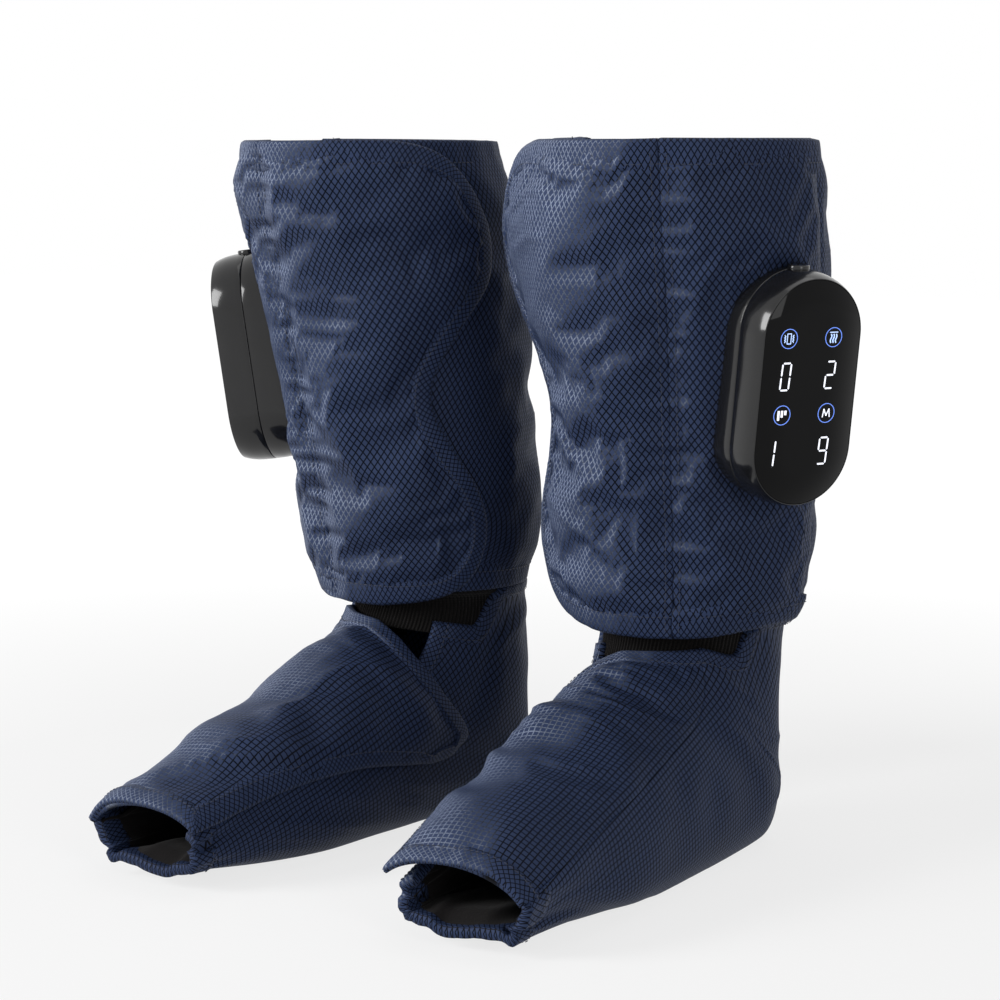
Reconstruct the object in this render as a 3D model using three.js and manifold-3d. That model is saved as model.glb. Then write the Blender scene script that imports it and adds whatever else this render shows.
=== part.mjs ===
// A pair of air-compression leg massagers: for each leg a padded calf cuff, a stretch ankle, an open-toed
// foot wrap, and a battery-driven air pump unit with a touch panel on the outer side of the cuff.
// Millimetres, +Z up. The wearer faces -Y, so the toes point to -Y; the left leg is at +X.
import * as THREE from "three";
import { mergeVertices } from "three/addons/utils/BufferGeometryUtils.js";
import Module from "manifold-3d";

const wasm = await Module();
wasm.setup();

// Driving sizes of one boot
const bootHeight = 440; // floor to the cuff's top rim
const cuffLength = 288; // top rim to the cuff's lower edge
const calfWidth = 160; // outside the cuff at its top rim
const footLength = 314; // heel to toe opening
const footWidth = 106; // outside the foot wrap
const standSpacing = 200; // between the two legs as they stand side by side
const standSplayDegrees = 3.4; // degrees the toes of each turn out
const seat = 0.3; // gap left between pieces that touch

// Fabric layers of the cuff and foot wrap, from the outside in
const coverThickness = 2.5; // navy face cloth on foam
const bladderThickness = 5; // air chamber, welded from two films
const liningThickness = 2; // dark lining cloth
const patchThickness = 1; // hook or loop tape
const flapThickness = 5; // padded flap
const panelThickness = 7.6; // padded panel that carries the unit and the flap's fold
const knitThickness = 2.2; // ribbed stretch cloth
const knitSlack = 0.9; // it hangs this much looser than the seats
const bladderTop = -coverThickness - seat;
const liningTop = bladderTop - bladderThickness - seat;
const flapRoom = 1; // slack between a flap and the tape under it
const flapBottom = seat + patchThickness + seat + patchThickness + flapRoom;
const hookBottom = seat + patchThickness + seat;

// Where the layers start and stop around the leg, in degrees: 0 outer side, 90 back, 180 inner side, 270 shin
const flapFoldAngle = 288; // stitched fold line of the calf flap
const foldGapDegrees = 0.45;
const panelSeamAngle = 362; // where the panel is sewn to the cuff
const cuffEdgeAngle = 252; // the cuff's free edge, under the flap
const footFoldAngles = [312, 336]; // fold line of the foot flap, at the ankle and at the toes
const footEdgeAngle = 228; // the foot wrap's free edge, under the flap

// The calf flap's free edge, as shares of its height and of its reach
const flapHeightShares = [0, 0.02, 0.06, 0.12, 0.2, 0.3, 0.4, 0.5, 0.58, 0.67, 0.76, 0.85, 0.92, 0.97, 1];
const flapReachShares = [
  0.58, 0.72, 0.85, 0.95, 1, 0.95, 0.78, 0.63, 0.59, 0.64, 0.72, 0.74, 0.66, 0.5, 0.24,
];

// The foot flap's free edge, as an angle, from the ankle to the toes
const footFlapEdgeDegrees = [262, 246, 231, 208, 183, 180, 193, 204, 212];
const freestEdgeAngle = 160; // no flap reaches round past this angle
const toeOverhang = 0.16; // rows by which the flap runs past the toe opening
const stitchRow = 0.015; // rows between pieces sewn edge to edge
const heelStripHalfDegrees = 94; // half width of the strip that joins foot wrap and cuff
const heelStripEaseDegrees = 18; // the wrap's edge rises to the strip over this angle
const slitRows = 1.95; // rows of stretch cloth left bare beside the strip
const footFlapTopRows = 3.05; // rows from the cuff to the foot flap's upper edge

// Where the other layers and the hook and loop tapes lie, in degrees and rows
const bladderAngles = [348, 600];
const panelEdgeShare = 0.45; // how much of its thickness the panel loses at its sewn edges
const bladderEdgeShare = 0.2; // and the air chamber, on both faces, at its welds
const flapEdgeShare = 1 / 6; // and a flap, on both faces, at its sewn edges
const bladderRim = 0.3; // rows left free at each rim
const footBladderAngles = [-12, 204];
const calfPatchAngles = [196, 228];
const knitAngles = [168, 384];
const footPatchAngles = [204, 228];
const calfPatchShares = flapHeightShares.slice(3, 6); // down the cuff
const footPatchRows = [5, 6, 7]; // below the cuff
const knitRows = [stitchRow, 1, 2, 2.4]; // below the cuff
const gridDegrees = 12; // layers share their facets' edges, so that nested ones lie parallel
const leastDegrees = 1; // no facet is narrower
// How far each calf flap reaches round the shin from its fold, and the angle past which it stands straight
// off the leg
const leftFlap = { reach: 178, leavesAngle: 230 };
const rightFlap = { reach: 158, leavesAngle: -Infinity }; // lies closed
const calfFoldBow = 6.5; // how far the cuff's fold line bows out from a straight hinge line
const footHingeLift = [9, 2]; // the foot flap turns about a line this far above its fold, at ankle and toes

// Sections down the leg. Calf rows: front edge, back edge, outward lean and half width as shares of calfWidth
const calfRowShares = [
  [-0.545, 0.46, 0.1, 0.497],
  [-0.5, 0.53, 0.09, 0.512],
  [-0.43, 0.585, 0.075, 0.508],
  [-0.365, 0.61, 0.06, 0.494],
  [-0.305, 0.63, 0.045, 0.482],
  [-0.25, 0.645, 0.03, 0.475],
  [-0.18, 0.59, 0.02, 0.42],
];
const flapHemShares = [-0.215, 0.6, 0.02, 0.445]; // the calf flap's lower edge, clear of the ankle
const flapDrop = 7; // and hangs this far below the cuff's edge
// Foot rows: instep point (y, z) and sole point (y, z) as shares of footLength and of the ankle's height,
// then half width as a share of footWidth
const footRowShares = [
  [-0.07, 0.955, 0.305, 0.9, 0.545],
  [-0.08, 0.885, 0.307, 0.7, 0.52],
  [-0.105, 0.82, 0.303, 0.44, 0.515],
  [-0.145, 0.77, 0.296, 0.13, 0.505],
  [-0.2, 0.72, 0.215, -0.02, 0.5],
  [-0.28, 0.66, -0.02, -0.025, 0.495],
  [-0.398, 0.57, -0.26, -0.025, 0.485],
  [-0.567, 0.455, -0.51, -0.02, 0.47],
  [-0.742, 0.315, -0.735, -0.01, 0.445],
];
const ankleHeight = bootHeight - cuffLength;
const calfRows = calfRowShares.length - 1;
const lastRow = calfRows + footRowShares.length;
const wrapRow = calfRows + 3; // the foot wrap's first full section
const soleRow = calfRows + 5; // the first section that reaches the sole
const squareStartRow = calfRows + 2; // from here to soleRow the sections turn squarer
const toeSquareness = 0.66; // 1 is an ellipse, less is squarer
const instepSquareShare = 0.5; // the instep's side gets this much of it
const backAngle = 90;
const fullTurn = 360;

const calfSection = ([front, back, lean, half], height) =>
  [front * calfWidth, height, back * calfWidth, height, lean * calfWidth, half * calfWidth];
const rows = calfRowShares
  .map((shares, i) => calfSection(shares, bootHeight - (cuffLength * i) / calfRows))
  .concat(
    footRowShares.map(([fy, fz, by, bz, half]) => [
      fy * footLength,
      fz * ankleHeight,
      by * footLength,
      bz * ankleHeight,
      0,
      half * footWidth,
    ]),
  );

const flapTable = rows.slice(0, calfRows).concat([calfSection(flapHemShares, ankleHeight - flapDrop)]);

// A smooth value through evenly spaced samples, at row t
function smooth(samples, t) {
  const last = samples.length - 1;
  const i = Math.min(Math.floor(Math.max(t, 0)), last - 1);
  const f = t - i;
  const at = (k) => samples[Math.min(Math.max(k, 0), last)];
  const [a, b, c, d] = [at(i - 1), at(i), at(i + 1), at(i + 2)];
  return b + 0.5 * f * (c - a + f * (2 * a - 5 * b + 4 * c - d + f * (3 * (b - c) + d - a)));
}

// A point on the cover's outer face, at an angle round the leg and a row down it
function skin(degrees, t, table = rows) {
  const [fy, fz, by, bz, x, half] = table[0].map((_, k) => smooth(table.map((r) => r[k]), t));
  const angle = THREE.MathUtils.degToRad(degrees);
  const squarer = (1 - toeSquareness) * THREE.MathUtils.smoothstep(t, squareStartRow, soleRow);
  const power = 1 - squarer * (Math.sin(angle) > 0 ? 1 : instepSquareShare);
  const across = Math.sign(Math.cos(angle)) * Math.abs(Math.cos(angle)) ** power;
  const deep = Math.sign(Math.sin(angle)) * Math.abs(Math.sin(angle)) ** power;
  const y = (fy + by) / 2 + (deep * (by - fy)) / 2;
  const z = (fz + bz) / 2 + (deep * (bz - fz)) / 2;
  return new THREE.Vector3(x + half * across, y, z);
}

// The face's outward normal
function normal(degrees, t, table) {
  const turn = 0.5;
  const rowStep = 0.05;
  const u = skin(degrees + turn, t, table).sub(skin(degrees - turn, t, table));
  const v = skin(degrees, t + rowStep, table).sub(skin(degrees, t - rowStep, table));
  return v.cross(u).normalize();
}

// A point of a layer: off the face by a distance, flat on the floor below the sole, and, past the angle where
// a flap stands away from the leg, straight on along the tangent
function layerPoint(degrees, t, off, leavesAngle = -Infinity, table = rows) {
  const held = Math.max(degrees, leavesAngle);
  const n = normal(held, t, table);
  const p = skin(held, t, table).addScaledVector(n, off);
  if (degrees < leavesAngle) {
    const tangent = skin(held - 1, t, table).sub(skin(held, t, table));
    p.addScaledVector(tangent, leavesAngle - degrees);
  }
  if (t > calfRows) p.z = Math.max(p.z, -off);
  return p;
}

// The shared facet edges between two angles
function gridAngles(first, last) {
  const inside = [];
  const start = gridDegrees * Math.ceil((first + leastDegrees) / gridDegrees);
  for (let a = start; a < last - leastDegrees; a += gridDegrees) {
    inside.push(a);
  }
  return [first, ...inside, last];
}

// Evenly spaced values from a to b
const spread = (a, b, count) => Array.from({ length: count + 1 }, (_, k) => a + ((b - a) * k) / count);

// The shared angles in one row, those past either edge drawn in to it
function drawnIn(grid, first, last) {
  const low = grid.findIndex((a) => a > first + gridDegrees / 4);
  const high = grid.findLastIndex((a) => a < last - gridDegrees / 4);
  const end = grid.length - 1;
  return grid.map((a, i) => {
    if (i < low) return first + ((grid[low] - first) * i) / low;
    if (i > high) return last - ((last - grid[high]) * (end - i)) / (end - high);
    return a;
  });
}

// A flap's angles in one row, from its free edge to its fold; the fold of its fullest row sets how many
function flapColumns(edge, fold, fullestFold = fold) {
  return drawnIn(gridAngles(freestEdgeAngle, fullestFold - foldGapDegrees), edge, fold - foldGapDegrees);
}

// The cuff's shared rows, and those of its air chamber, which stops short of both rims
const calfGrid = spread(0, calfRows, calfRows);
const bladderRows = [bladderRim, ...calfGrid.slice(1, -1), calfRows - bladderRim];

// A closed layer between two distances off the face. anglesAt(j) gives the angles of grid row j, and
// rowsAt(angle) that angle's rows down the leg. The crowns are how much thinner either face gets at the
// sewn edge
function layer({ anglesAt, rowsAt, from, to, leavesAngle, table, crown = 0, innerCrown = crown }) {
  const rowTotal = rowsAt(anglesAt(0)[0]).length;
  const sheet = (off, drawnIn) =>
    Array.from({ length: rowTotal }, (_, j) =>
      anglesAt(j).map((degrees, i, list) => {
        const sewn = i === 0 || j === 0 || i === list.length - 1 || j === rowTotal - 1;
        return layerPoint(degrees, rowsAt(degrees)[j], off - (sewn ? drawnIn : 0), leavesAngle, table);
      }),
    );
  return solidBetween(sheet(from, -innerCrown), sheet(to, crown));
}

// Joins an inner and an outer grid of points into one closed body
function solidBetween(inner, outer) {
  const rowTotal = inner.length;
  const width = inner[0].length;
  const points = [...inner.flat(), ...outer.flat()];
  const at = (side, j, i) => side * rowTotal * width + j * width + i;
  const faces = [];
  const quad = (a, b, c, d) => faces.push(a, b, c, a, c, d);
  for (let j = 0; j + 1 < rowTotal; j++) {
    for (let i = 0; i + 1 < width; i++) {
      quad(at(0, j, i), at(0, j, i + 1), at(0, j + 1, i + 1), at(0, j + 1, i));
      quad(at(1, j, i), at(1, j + 1, i), at(1, j + 1, i + 1), at(1, j, i + 1));
    }
    quad(at(0, j, 0), at(0, j + 1, 0), at(1, j + 1, 0), at(1, j, 0));
    quad(at(0, j, width - 1), at(1, j, width - 1), at(1, j + 1, width - 1), at(0, j + 1, width - 1));
  }
  for (let i = 0; i + 1 < width; i++) {
    quad(at(0, 0, i), at(1, 0, i), at(1, 0, i + 1), at(0, 0, i + 1));
    const hem = rowTotal - 1;
    quad(at(0, hem, i), at(0, hem, i + 1), at(1, hem, i + 1), at(1, hem, i));
  }
  return closed(points, faces);
}

// A solid from points and faces, turned so that its faces point out
function closed(points, faces) {
  const vertProperties = new Float32Array(points.flatMap((p) => p.toArray()));
  let volume = 0;
  for (let k = 0; k < faces.length; k += 3) {
    const [a, b, c] = [points[faces[k]], points[faces[k + 1]], points[faces[k + 2]]];
    volume += a.dot(new THREE.Vector3().crossVectors(b, c));
  }
  const order = volume < 0 ? faces.map((_, k) => faces[k - (k % 3) + (2 - (k % 3))]) : faces;
  return new wasm.Manifold(new wasm.Mesh({ numProp: 3, vertProperties, triVerts: new Uint32Array(order) }));
}

// A three.js geometry as a solid, and back
const weldDistance = 1e-4;
function solid(geometry) {
  const bare = geometry.clone().deleteAttribute("normal").deleteAttribute("uv");
  const merged = mergeVertices(bare, weldDistance);
  return new wasm.Manifold(
    new wasm.Mesh({
      numProp: 3,
      vertProperties: merged.attributes.position.array,
      triVerts: new Uint32Array(merged.index.array),
    }),
  );
}

function geometryOf(made) {
  const mesh = made.getMesh();
  const geometry = new THREE.BufferGeometry();
  geometry.setAttribute("position", new THREE.BufferAttribute(new Float32Array(mesh.vertProperties), 3));
  geometry.setIndex(new THREE.BufferAttribute(new Uint32Array(mesh.triVerts), 1));
  geometry.computeVertexNormals();
  return geometry;
}

// Materials
function finish(color, roughness, metalness = 0) {
  return new THREE.MeshStandardMaterial({ color, roughness, metalness });
}
const navyCloth = finish(0x2a3a5e, 0.6);
const darkLining = finish(0x1b1918, 0.7);
const blackKnit = finish(0x14110f, 0.95);
const tapeCloth = finish(0x15151a, 0.95);
const bladderFilm = finish(0x4a4d52, 0.45);
const blackGloss = finish(0x0b0c0e, 0.15);
const panelGlass = finish(0x030304, 0.04);
const boardGreen = finish(0x1d5a36, 0.5);
const cellBlue = finish(0x2c5f9e, 0.4);
const pumpWhite = finish(0xd8d8d4, 0.5);
const steel = finish(0xb8bcc0, 0.3, 1);
const greyPlastic = finish(0x2c2e31, 0.55);

// Sizes of the pump unit, in its own frame: x across, y up the leg, z out from the cuff. z = 0 lies on the
// panel's face, at the unit's middle
const unitWidth = 72;
const unitLength = 138;
const unitFront = 33; // face of the glass
const unitSkirt = 12; // how far the rear shell's sides reach back round the cuff
const unitSplit = 12; // joint line of the two shells
const unitWall = 5;
const floorTop = 3; // inside face of the rear shell's floor
const frontRound = 2.6; // how much the front edge is drawn in
const frontWaist = 23.1; // above this height the front shell's sides draw in
const skirtRound = 1.6;
const unitAngle = 330; // where it sits round the leg
const unitHeight = 302; // its middle above the floor
const unitTiltDegrees = 8; // degrees its top leans out
const arcSteps = 10; // facets on each round end
const wheelSides = 24; // facets round a button or rotor, a bar and a thin shaft
const barSides = 16;
const shaftSides = 12;

const glassThickness = 2;
const glassRim = 3.3; // shell left bare round the glass
const glassLedge = 3; // shell under the glass's edge
const boardThickness = 1.6;
const mainBoardHeight = 25.6;
const displayBoardHeight = 28.9;

const plateWidth = 44;
const plateLength = 118;
const plateThickness = 2.5;
const plateDepth = 4.5; // its back, below the panel's face

const screwOffset = 50; // each screw from the unit's middle
const screwRadius = 1.5;
const screwHeadRadius = 3;
const screwHeadHeight = 1.6;
const screwTip = 9;
const bossRadius = 4;
const bossTop = 11;

const buttonRadius = 6.5;
const buttonProud = 2;
const flangeExtra = 1.1;
const flangeThickness = 1.5;
const flangeTop = 61.4;

const socketWidth = 9;
const socketHeight = 3.6;
const socketDepth = 8;
const socketWall = 0.5;
const socketLift = 7.5; // its middle above the panel's face

const batteryWidth = 24;
const batteryLength = 68;
const batteryHeight = 18;
const batteryLeft = -29.4;

const pumpLeft = 2.4;
const pumpWidth = 27;
const pumpStart = -13;
const pumpLength = 46;
const pumpHeight = 21.5;
const rotorRadius = 9;
const rotorThickness = 6;
const rotorRoom = 0.8; // radial room round the rotor
const pocketDepth = 10;
const shaftRadius = 1.5;
const crankRadius = 5;
const crankPinRadius = 1.4;
const crankPinLength = 2.5;

const valveWidth = 15;
const valveLength = 20;
const valveHeight = 14;
const valveStart = -36;

const shakerRadius = 5.6;
const shakerLength = 15;
const shakerLeft = 24.2; // its axis
const weightRadius = 5.2;
const weightLength = 5;
const weightShaftRadius = 1;
const cutOver = 1; // how far a cut runs past what it cuts

// A stadium outline, as points
function stadium(width, length) {
  const r = width / 2;
  const straight = length / 2 - r;
  const points = [];
  for (let k = 0; k <= arcSteps; k++) {
    const a = (Math.PI * k) / arcSteps;
    points.push([r * Math.cos(a), straight + r * Math.sin(a)]);
  }
  return points.concat(points.map(([x, y]) => [-x, -y]));
}

// A closed body through stadium outlines drawn in by some amount, from the back to the front
function stadiumBody(width, length, levels) {
  const rings = levels.map(([inset, z]) =>
    stadium(width - 2 * inset, length - 2 * inset).map(([x, y]) => new THREE.Vector3(x, y, z)),
  );
  const count = rings[0].length;
  const points = rings.flat();
  const faces = [];
  for (let j = 0; j + 1 < rings.length; j++) {
    for (let i = 0; i < count; i++) {
      const k = (i + 1) % count;
      const [a, b, c, d] = [j * count + i, j * count + k, (j + 1) * count + k, (j + 1) * count + i];
      faces.push(a, b, c, a, c, d);
    }
  }
  const top = (rings.length - 1) * count;
  for (let i = 1; i + 1 < count; i++) {
    faces.push(0, i + 1, i, top, top + i, top + i + 1);
  }
  return closed(points, faces);
}

function block(x0, x1, y0, y1, z0, z1) {
  const box = new THREE.BoxGeometry(x1 - x0, y1 - y0, z1 - z0);
  return solid(box.translate((x0 + x1) / 2, (y0 + y1) / 2, (z0 + z1) / 2));
}

// The clamp plate's outline, that much wider all round
function plateWindow(extra, z0, z1) {
  const x = plateWidth / 2 + extra;
  const y = plateLength / 2 + extra;
  return block(-x, x, -y, y, z0, z1);
}

// A round bar along the unit's length, or out of its face
function barAlong(radius, x, z, y0, y1, sides = barSides) {
  const bar = new THREE.CylinderGeometry(radius, radius, y1 - y0, sides);
  return solid(bar.translate(x, (y0 + y1) / 2, z));
}

function barOut(radius, x, y, z0, z1, sides = barSides) {
  const bar = new THREE.CylinderGeometry(radius, radius, z1 - z0, sides).rotateX(Math.PI / 2);
  return solid(bar.translate(x, y, (z0 + z1) / 2));
}

// The unit's place on the cuff: a matrix from its own frame to the boot's
function unitPlace() {
  const t = ((bootHeight - unitHeight) / cuffLength) * calfRows;
  const middle = layerPoint(unitAngle, t, seat + panelThickness);
  const angle = THREE.MathUtils.degToRad(unitAngle);
  const tilt = THREE.MathUtils.degToRad(unitTiltDegrees);
  const level = new THREE.Vector3(Math.cos(angle), Math.sin(angle), 0);
  const out = level.clone().multiplyScalar(Math.cos(tilt)).add(new THREE.Vector3(0, 0, -Math.sin(tilt)));
  const across = new THREE.Vector3(-Math.sin(angle), Math.cos(angle), 0);
  const up = new THREE.Vector3().crossVectors(out, across);
  return new THREE.Matrix4().makeBasis(across, up, out).setPosition(middle);
}

// The padded panel on the outer side of the cuff
function calfPanelSolid() {
  const angles = gridAngles(flapFoldAngle + foldGapDegrees, panelSeamAngle);
  return layer({
    anglesAt: () => angles,
    rowsAt: () => calfGrid,
    from: seat,
    to: seat + panelThickness,
    crown: panelThickness * panelEdgeShare,
    innerCrown: 0,
  });
}

// The room that the cuff takes behind the unit, a seat wider: the rear shell's back is cut to it
function unitSeat() {
  const angles = gridAngles(flapFoldAngle, panelSeamAngle + 2 * gridDegrees);
  return layer({
    anglesAt: () => angles,
    rowsAt: () => calfGrid,
    from: 2 * liningTop,
    to: seat + panelThickness + seat,
  });
}

// Everything of one pump unit, as named solids in the unit's frame
function unitSolids(place) {
  const back = new THREE.Matrix4().copy(place).invert();
  const cuffShape = unitSeat().transform(back.elements);
  const cavityWidth = unitWidth - 2 * unitWall;
  const cavityLength = unitLength - 2 * unitWall;
  const end = unitLength / 2;
  const flangeFoot = flangeTop - flangeThickness;
  const buttonHole = barAlong(buttonRadius + seat, 0, unitSplit, flangeFoot, end + cutOver, wheelSides);
  const socketHole = block(
    -socketWidth / 2 - seat,
    socketWidth / 2 + seat,
    -end - cutOver,
    -end + socketDepth + cutOver,
    socketLift - socketHeight / 2 - seat,
    socketLift + socketHeight / 2 + seat,
  );

  let rear = stadiumBody(unitWidth, unitLength, [
    [skirtRound * 2, -unitSkirt],
    [skirtRound, -unitSkirt / 2],
    [0, unitSplit / 3],
    [0, unitSplit - seat / 2],
  ]);
  const plateFace = -plateDepth + plateThickness + seat;
  rear = rear.subtract(cuffShape).subtract(plateWindow(0, -unitSkirt - cutOver, plateFace));
  rear = rear.add(plateWindow(-seat, plateFace, floorTop - cutOver));
  rear = rear.subtract(stadiumBody(cavityWidth, cavityLength, [[0, floorTop], [0, unitSplit + cutOver]]));
  for (const y of [-screwOffset, screwOffset]) {
    rear = rear.add(barOut(bossRadius, 0, y, floorTop - cutOver, bossTop));
    rear = rear.subtract(barOut(screwRadius + seat, 0, y, -unitSkirt, screwTip + seat));
  }
  rear = rear.subtract(buttonHole).subtract(socketHole);

  let front = stadiumBody(unitWidth, unitLength, [
    [0, unitSplit + seat / 2],
    [seat, frontWaist],
    [frontRound / 3, unitFront - frontRound],
    [frontRound, unitFront],
  ]);
  const glassWidth = unitWidth - 2 * glassRim;
  const glassLength = unitLength - 2 * glassRim;
  const recess = [[0, unitFront - glassThickness - seat], [0, unitFront + cutOver]];
  front = front.subtract(stadiumBody(glassWidth + 2 * seat, glassLength + 2 * seat, recess));
  const bore = [[0, unitSplit - cutOver], [0, unitFront]];
  front = front.subtract(stadiumBody(glassWidth - 2 * glassLedge, glassLength - 2 * glassLedge, bore));
  front = front.subtract(buttonHole);

  const glass = stadiumBody(glassWidth, glassLength, [
    [0, unitFront - glassThickness],
    [0, unitFront - seat],
    [seat, unitFront],
  ]);
  const boardWidth = glassWidth - 2 * glassLedge - 2 * seat;
  const boardLength = glassLength - 2 * glassLedge - 2 * seat;
  const board = (z) => stadiumBody(boardWidth, boardLength, [[0, z], [0, z + boardThickness]]);

  let plate = plateWindow(-seat, -plateDepth, -plateDepth + plateThickness);
  for (const y of [-screwOffset, screwOffset]) {
    plate = plate.subtract(barOut(screwRadius + seat, 0, y, -unitSkirt, cutOver));
  }
  const screw = (y) =>
    barOut(screwRadius, 0, y, -plateDepth - seat - screwHeadHeight / 2, screwTip).add(
      barOut(screwHeadRadius, 0, y, -plateDepth - seat - screwHeadHeight, -plateDepth - seat),
    );

  const buttonTop = end + buttonProud;
  const stemFoot = flangeTop - flangeThickness / 2;
  const button = barAlong(buttonRadius, 0, unitSplit, stemFoot, buttonTop, wheelSides).add(
    barAlong(buttonRadius + flangeExtra, 0, unitSplit, flangeFoot, flangeTop, wheelSides),
  );

  let socket = block(
    -socketWidth / 2,
    socketWidth / 2,
    -end + seat,
    -end + socketDepth,
    socketLift - socketHeight / 2,
    socketLift + socketHeight / 2,
  );
  const inner = socketWidth / 2 - socketWall;
  const innerHeight = socketHeight / 2 - socketWall;
  const socketBottom = -end + socketDepth - socketWall;
  socket = socket.subtract(
    block(-inner, inner, -end - cutOver, socketBottom, socketLift - innerHeight, socketLift + innerHeight),
  );

  const rest = floorTop + seat;
  const battery = block(
    batteryLeft,
    batteryLeft + batteryWidth,
    -batteryLength / 2,
    batteryLength / 2,
    rest,
    rest + batteryHeight,
  );

  const pumpX = pumpLeft + pumpWidth / 2;
  const pumpZ = rest + pumpHeight / 2;
  const pumpEnd = pumpStart + pumpLength;
  const pocketEnd = pumpStart + pocketDepth;
  const rotorStart = pumpStart + (pocketDepth - rotorThickness) / 2;
  const pump = block(pumpLeft, pumpLeft + pumpWidth, pumpStart, pumpEnd, rest, rest + pumpHeight)
    .subtract(barAlong(rotorRadius + rotorRoom, pumpX, pumpZ, pumpStart - cutOver, pocketEnd, wheelSides))
    .add(barAlong(shaftRadius, pumpX, pumpZ, rotorStart - seat, pocketEnd + cutOver));
  const rotorEnd = rotorStart + rotorThickness;
  const pinStart = rotorStart - crankPinLength;
  const rotor = barAlong(rotorRadius, pumpX, pumpZ, rotorStart, rotorEnd, wheelSides)
    .add(barAlong(crankPinRadius, pumpX + crankRadius, pumpZ, pinStart, rotorStart + cutOver))
    .subtract(barAlong(shaftRadius + seat, pumpX, pumpZ, rotorStart - cutOver, rotorEnd + cutOver));

  const valveEnd = valveStart + valveLength;
  const valve = block(pumpLeft, pumpLeft + valveWidth, valveStart, valveEnd, rest, rest + valveHeight);

  const shakerZ = rest + shakerRadius;
  const shakerEnd = valveStart + shakerLength;
  const weightStart = shakerEnd + 2 * seat;
  const weightEnd = weightStart + weightLength;
  const shaft = (radius, y0, y1) => barAlong(radius, shakerLeft, shakerZ, y0, y1, shaftSides);
  const shaker = barAlong(shakerRadius, shakerLeft, shakerZ, valveStart, shakerEnd).add(
    shaft(weightShaftRadius, shakerEnd - cutOver, weightEnd),
  );
  const weightReach = weightRadius + cutOver;
  const weight = barAlong(weightRadius, shakerLeft, shakerZ, weightStart, weightEnd)
    .subtract(
      block(
        shakerLeft - weightReach,
        shakerLeft + weightReach,
        weightStart - cutOver,
        weightEnd + cutOver,
        shakerZ + 2 * weightShaftRadius,
        shakerZ + weightReach,
      ),
    )
    .subtract(shaft(weightShaftRadius + seat, weightStart - cutOver, weightEnd + cutOver));

  return [
    ["rear_shell", rear, blackGloss],
    ["front_shell", front, blackGloss],
    ["touch_glass", glass, panelGlass],
    ["display_board", board(displayBoardHeight), boardGreen],
    ["main_board", board(mainBoardHeight), boardGreen],
    ["clamp_plate", plate, greyPlastic],
    ["upper_screw", screw(screwOffset), steel],
    ["lower_screw", screw(-screwOffset), steel],
    ["power_button", button, blackGloss],
    ["charge_socket", socket, steel],
    ["battery_pack", battery, cellBlue],
    ["air_pump", pump, pumpWhite],
    ["pump_rotor", rotor, greyPlastic],
    ["air_valve", valve, pumpWhite],
    ["vibration_motor", shaker, steel],
    ["vibration_weight", weight, steel],
  ];
}

// The angle of the calf flap's free edge in one row, that far round the shin from its fold
function flapEdge(t, reach) {
  const degreeLength = skin(flapFoldAngle, t).distanceTo(skin(flapFoldAngle - 1, t));
  const stretch = 1 + (2 * flapBottom) / calfWidth;
  return flapFoldAngle - foldGapDegrees - reach / (degreeLength * stretch);
}

// Rows of the foot flap, and the angle of its fold in a row: it slants from the ankle down to the toes
const footFlapTop = calfRows + footFlapTopRows;
const footFlapRows = [
  ...spread(footFlapTop, soleRow, 4),
  ...spread(soleRow + 1, lastRow - 1, 2),
  lastRow + toeOverhang,
];
function footFold(t) {
  return THREE.MathUtils.mapLinear(Math.min(t, lastRow), footFlapTop, lastRow, ...footFoldAngles);
}

// Rows of the foot wrap at an angle: from the cuff at the back and sides of the ankle, elsewhere from below
// the stretch cloth
function footWrapRows(degrees) {
  const stripEnd = heelStripHalfDegrees + heelStripEaseDegrees;
  const side = THREE.MathUtils.smoothstep(Math.abs(degrees - backAngle), heelStripHalfDegrees, stripEnd);
  const first = calfRows + stitchRow + slitRows * side;
  return [...spread(first, wrapRow, 3), ...spread(wrapRow + 1, lastRow, 5)];
}

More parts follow.
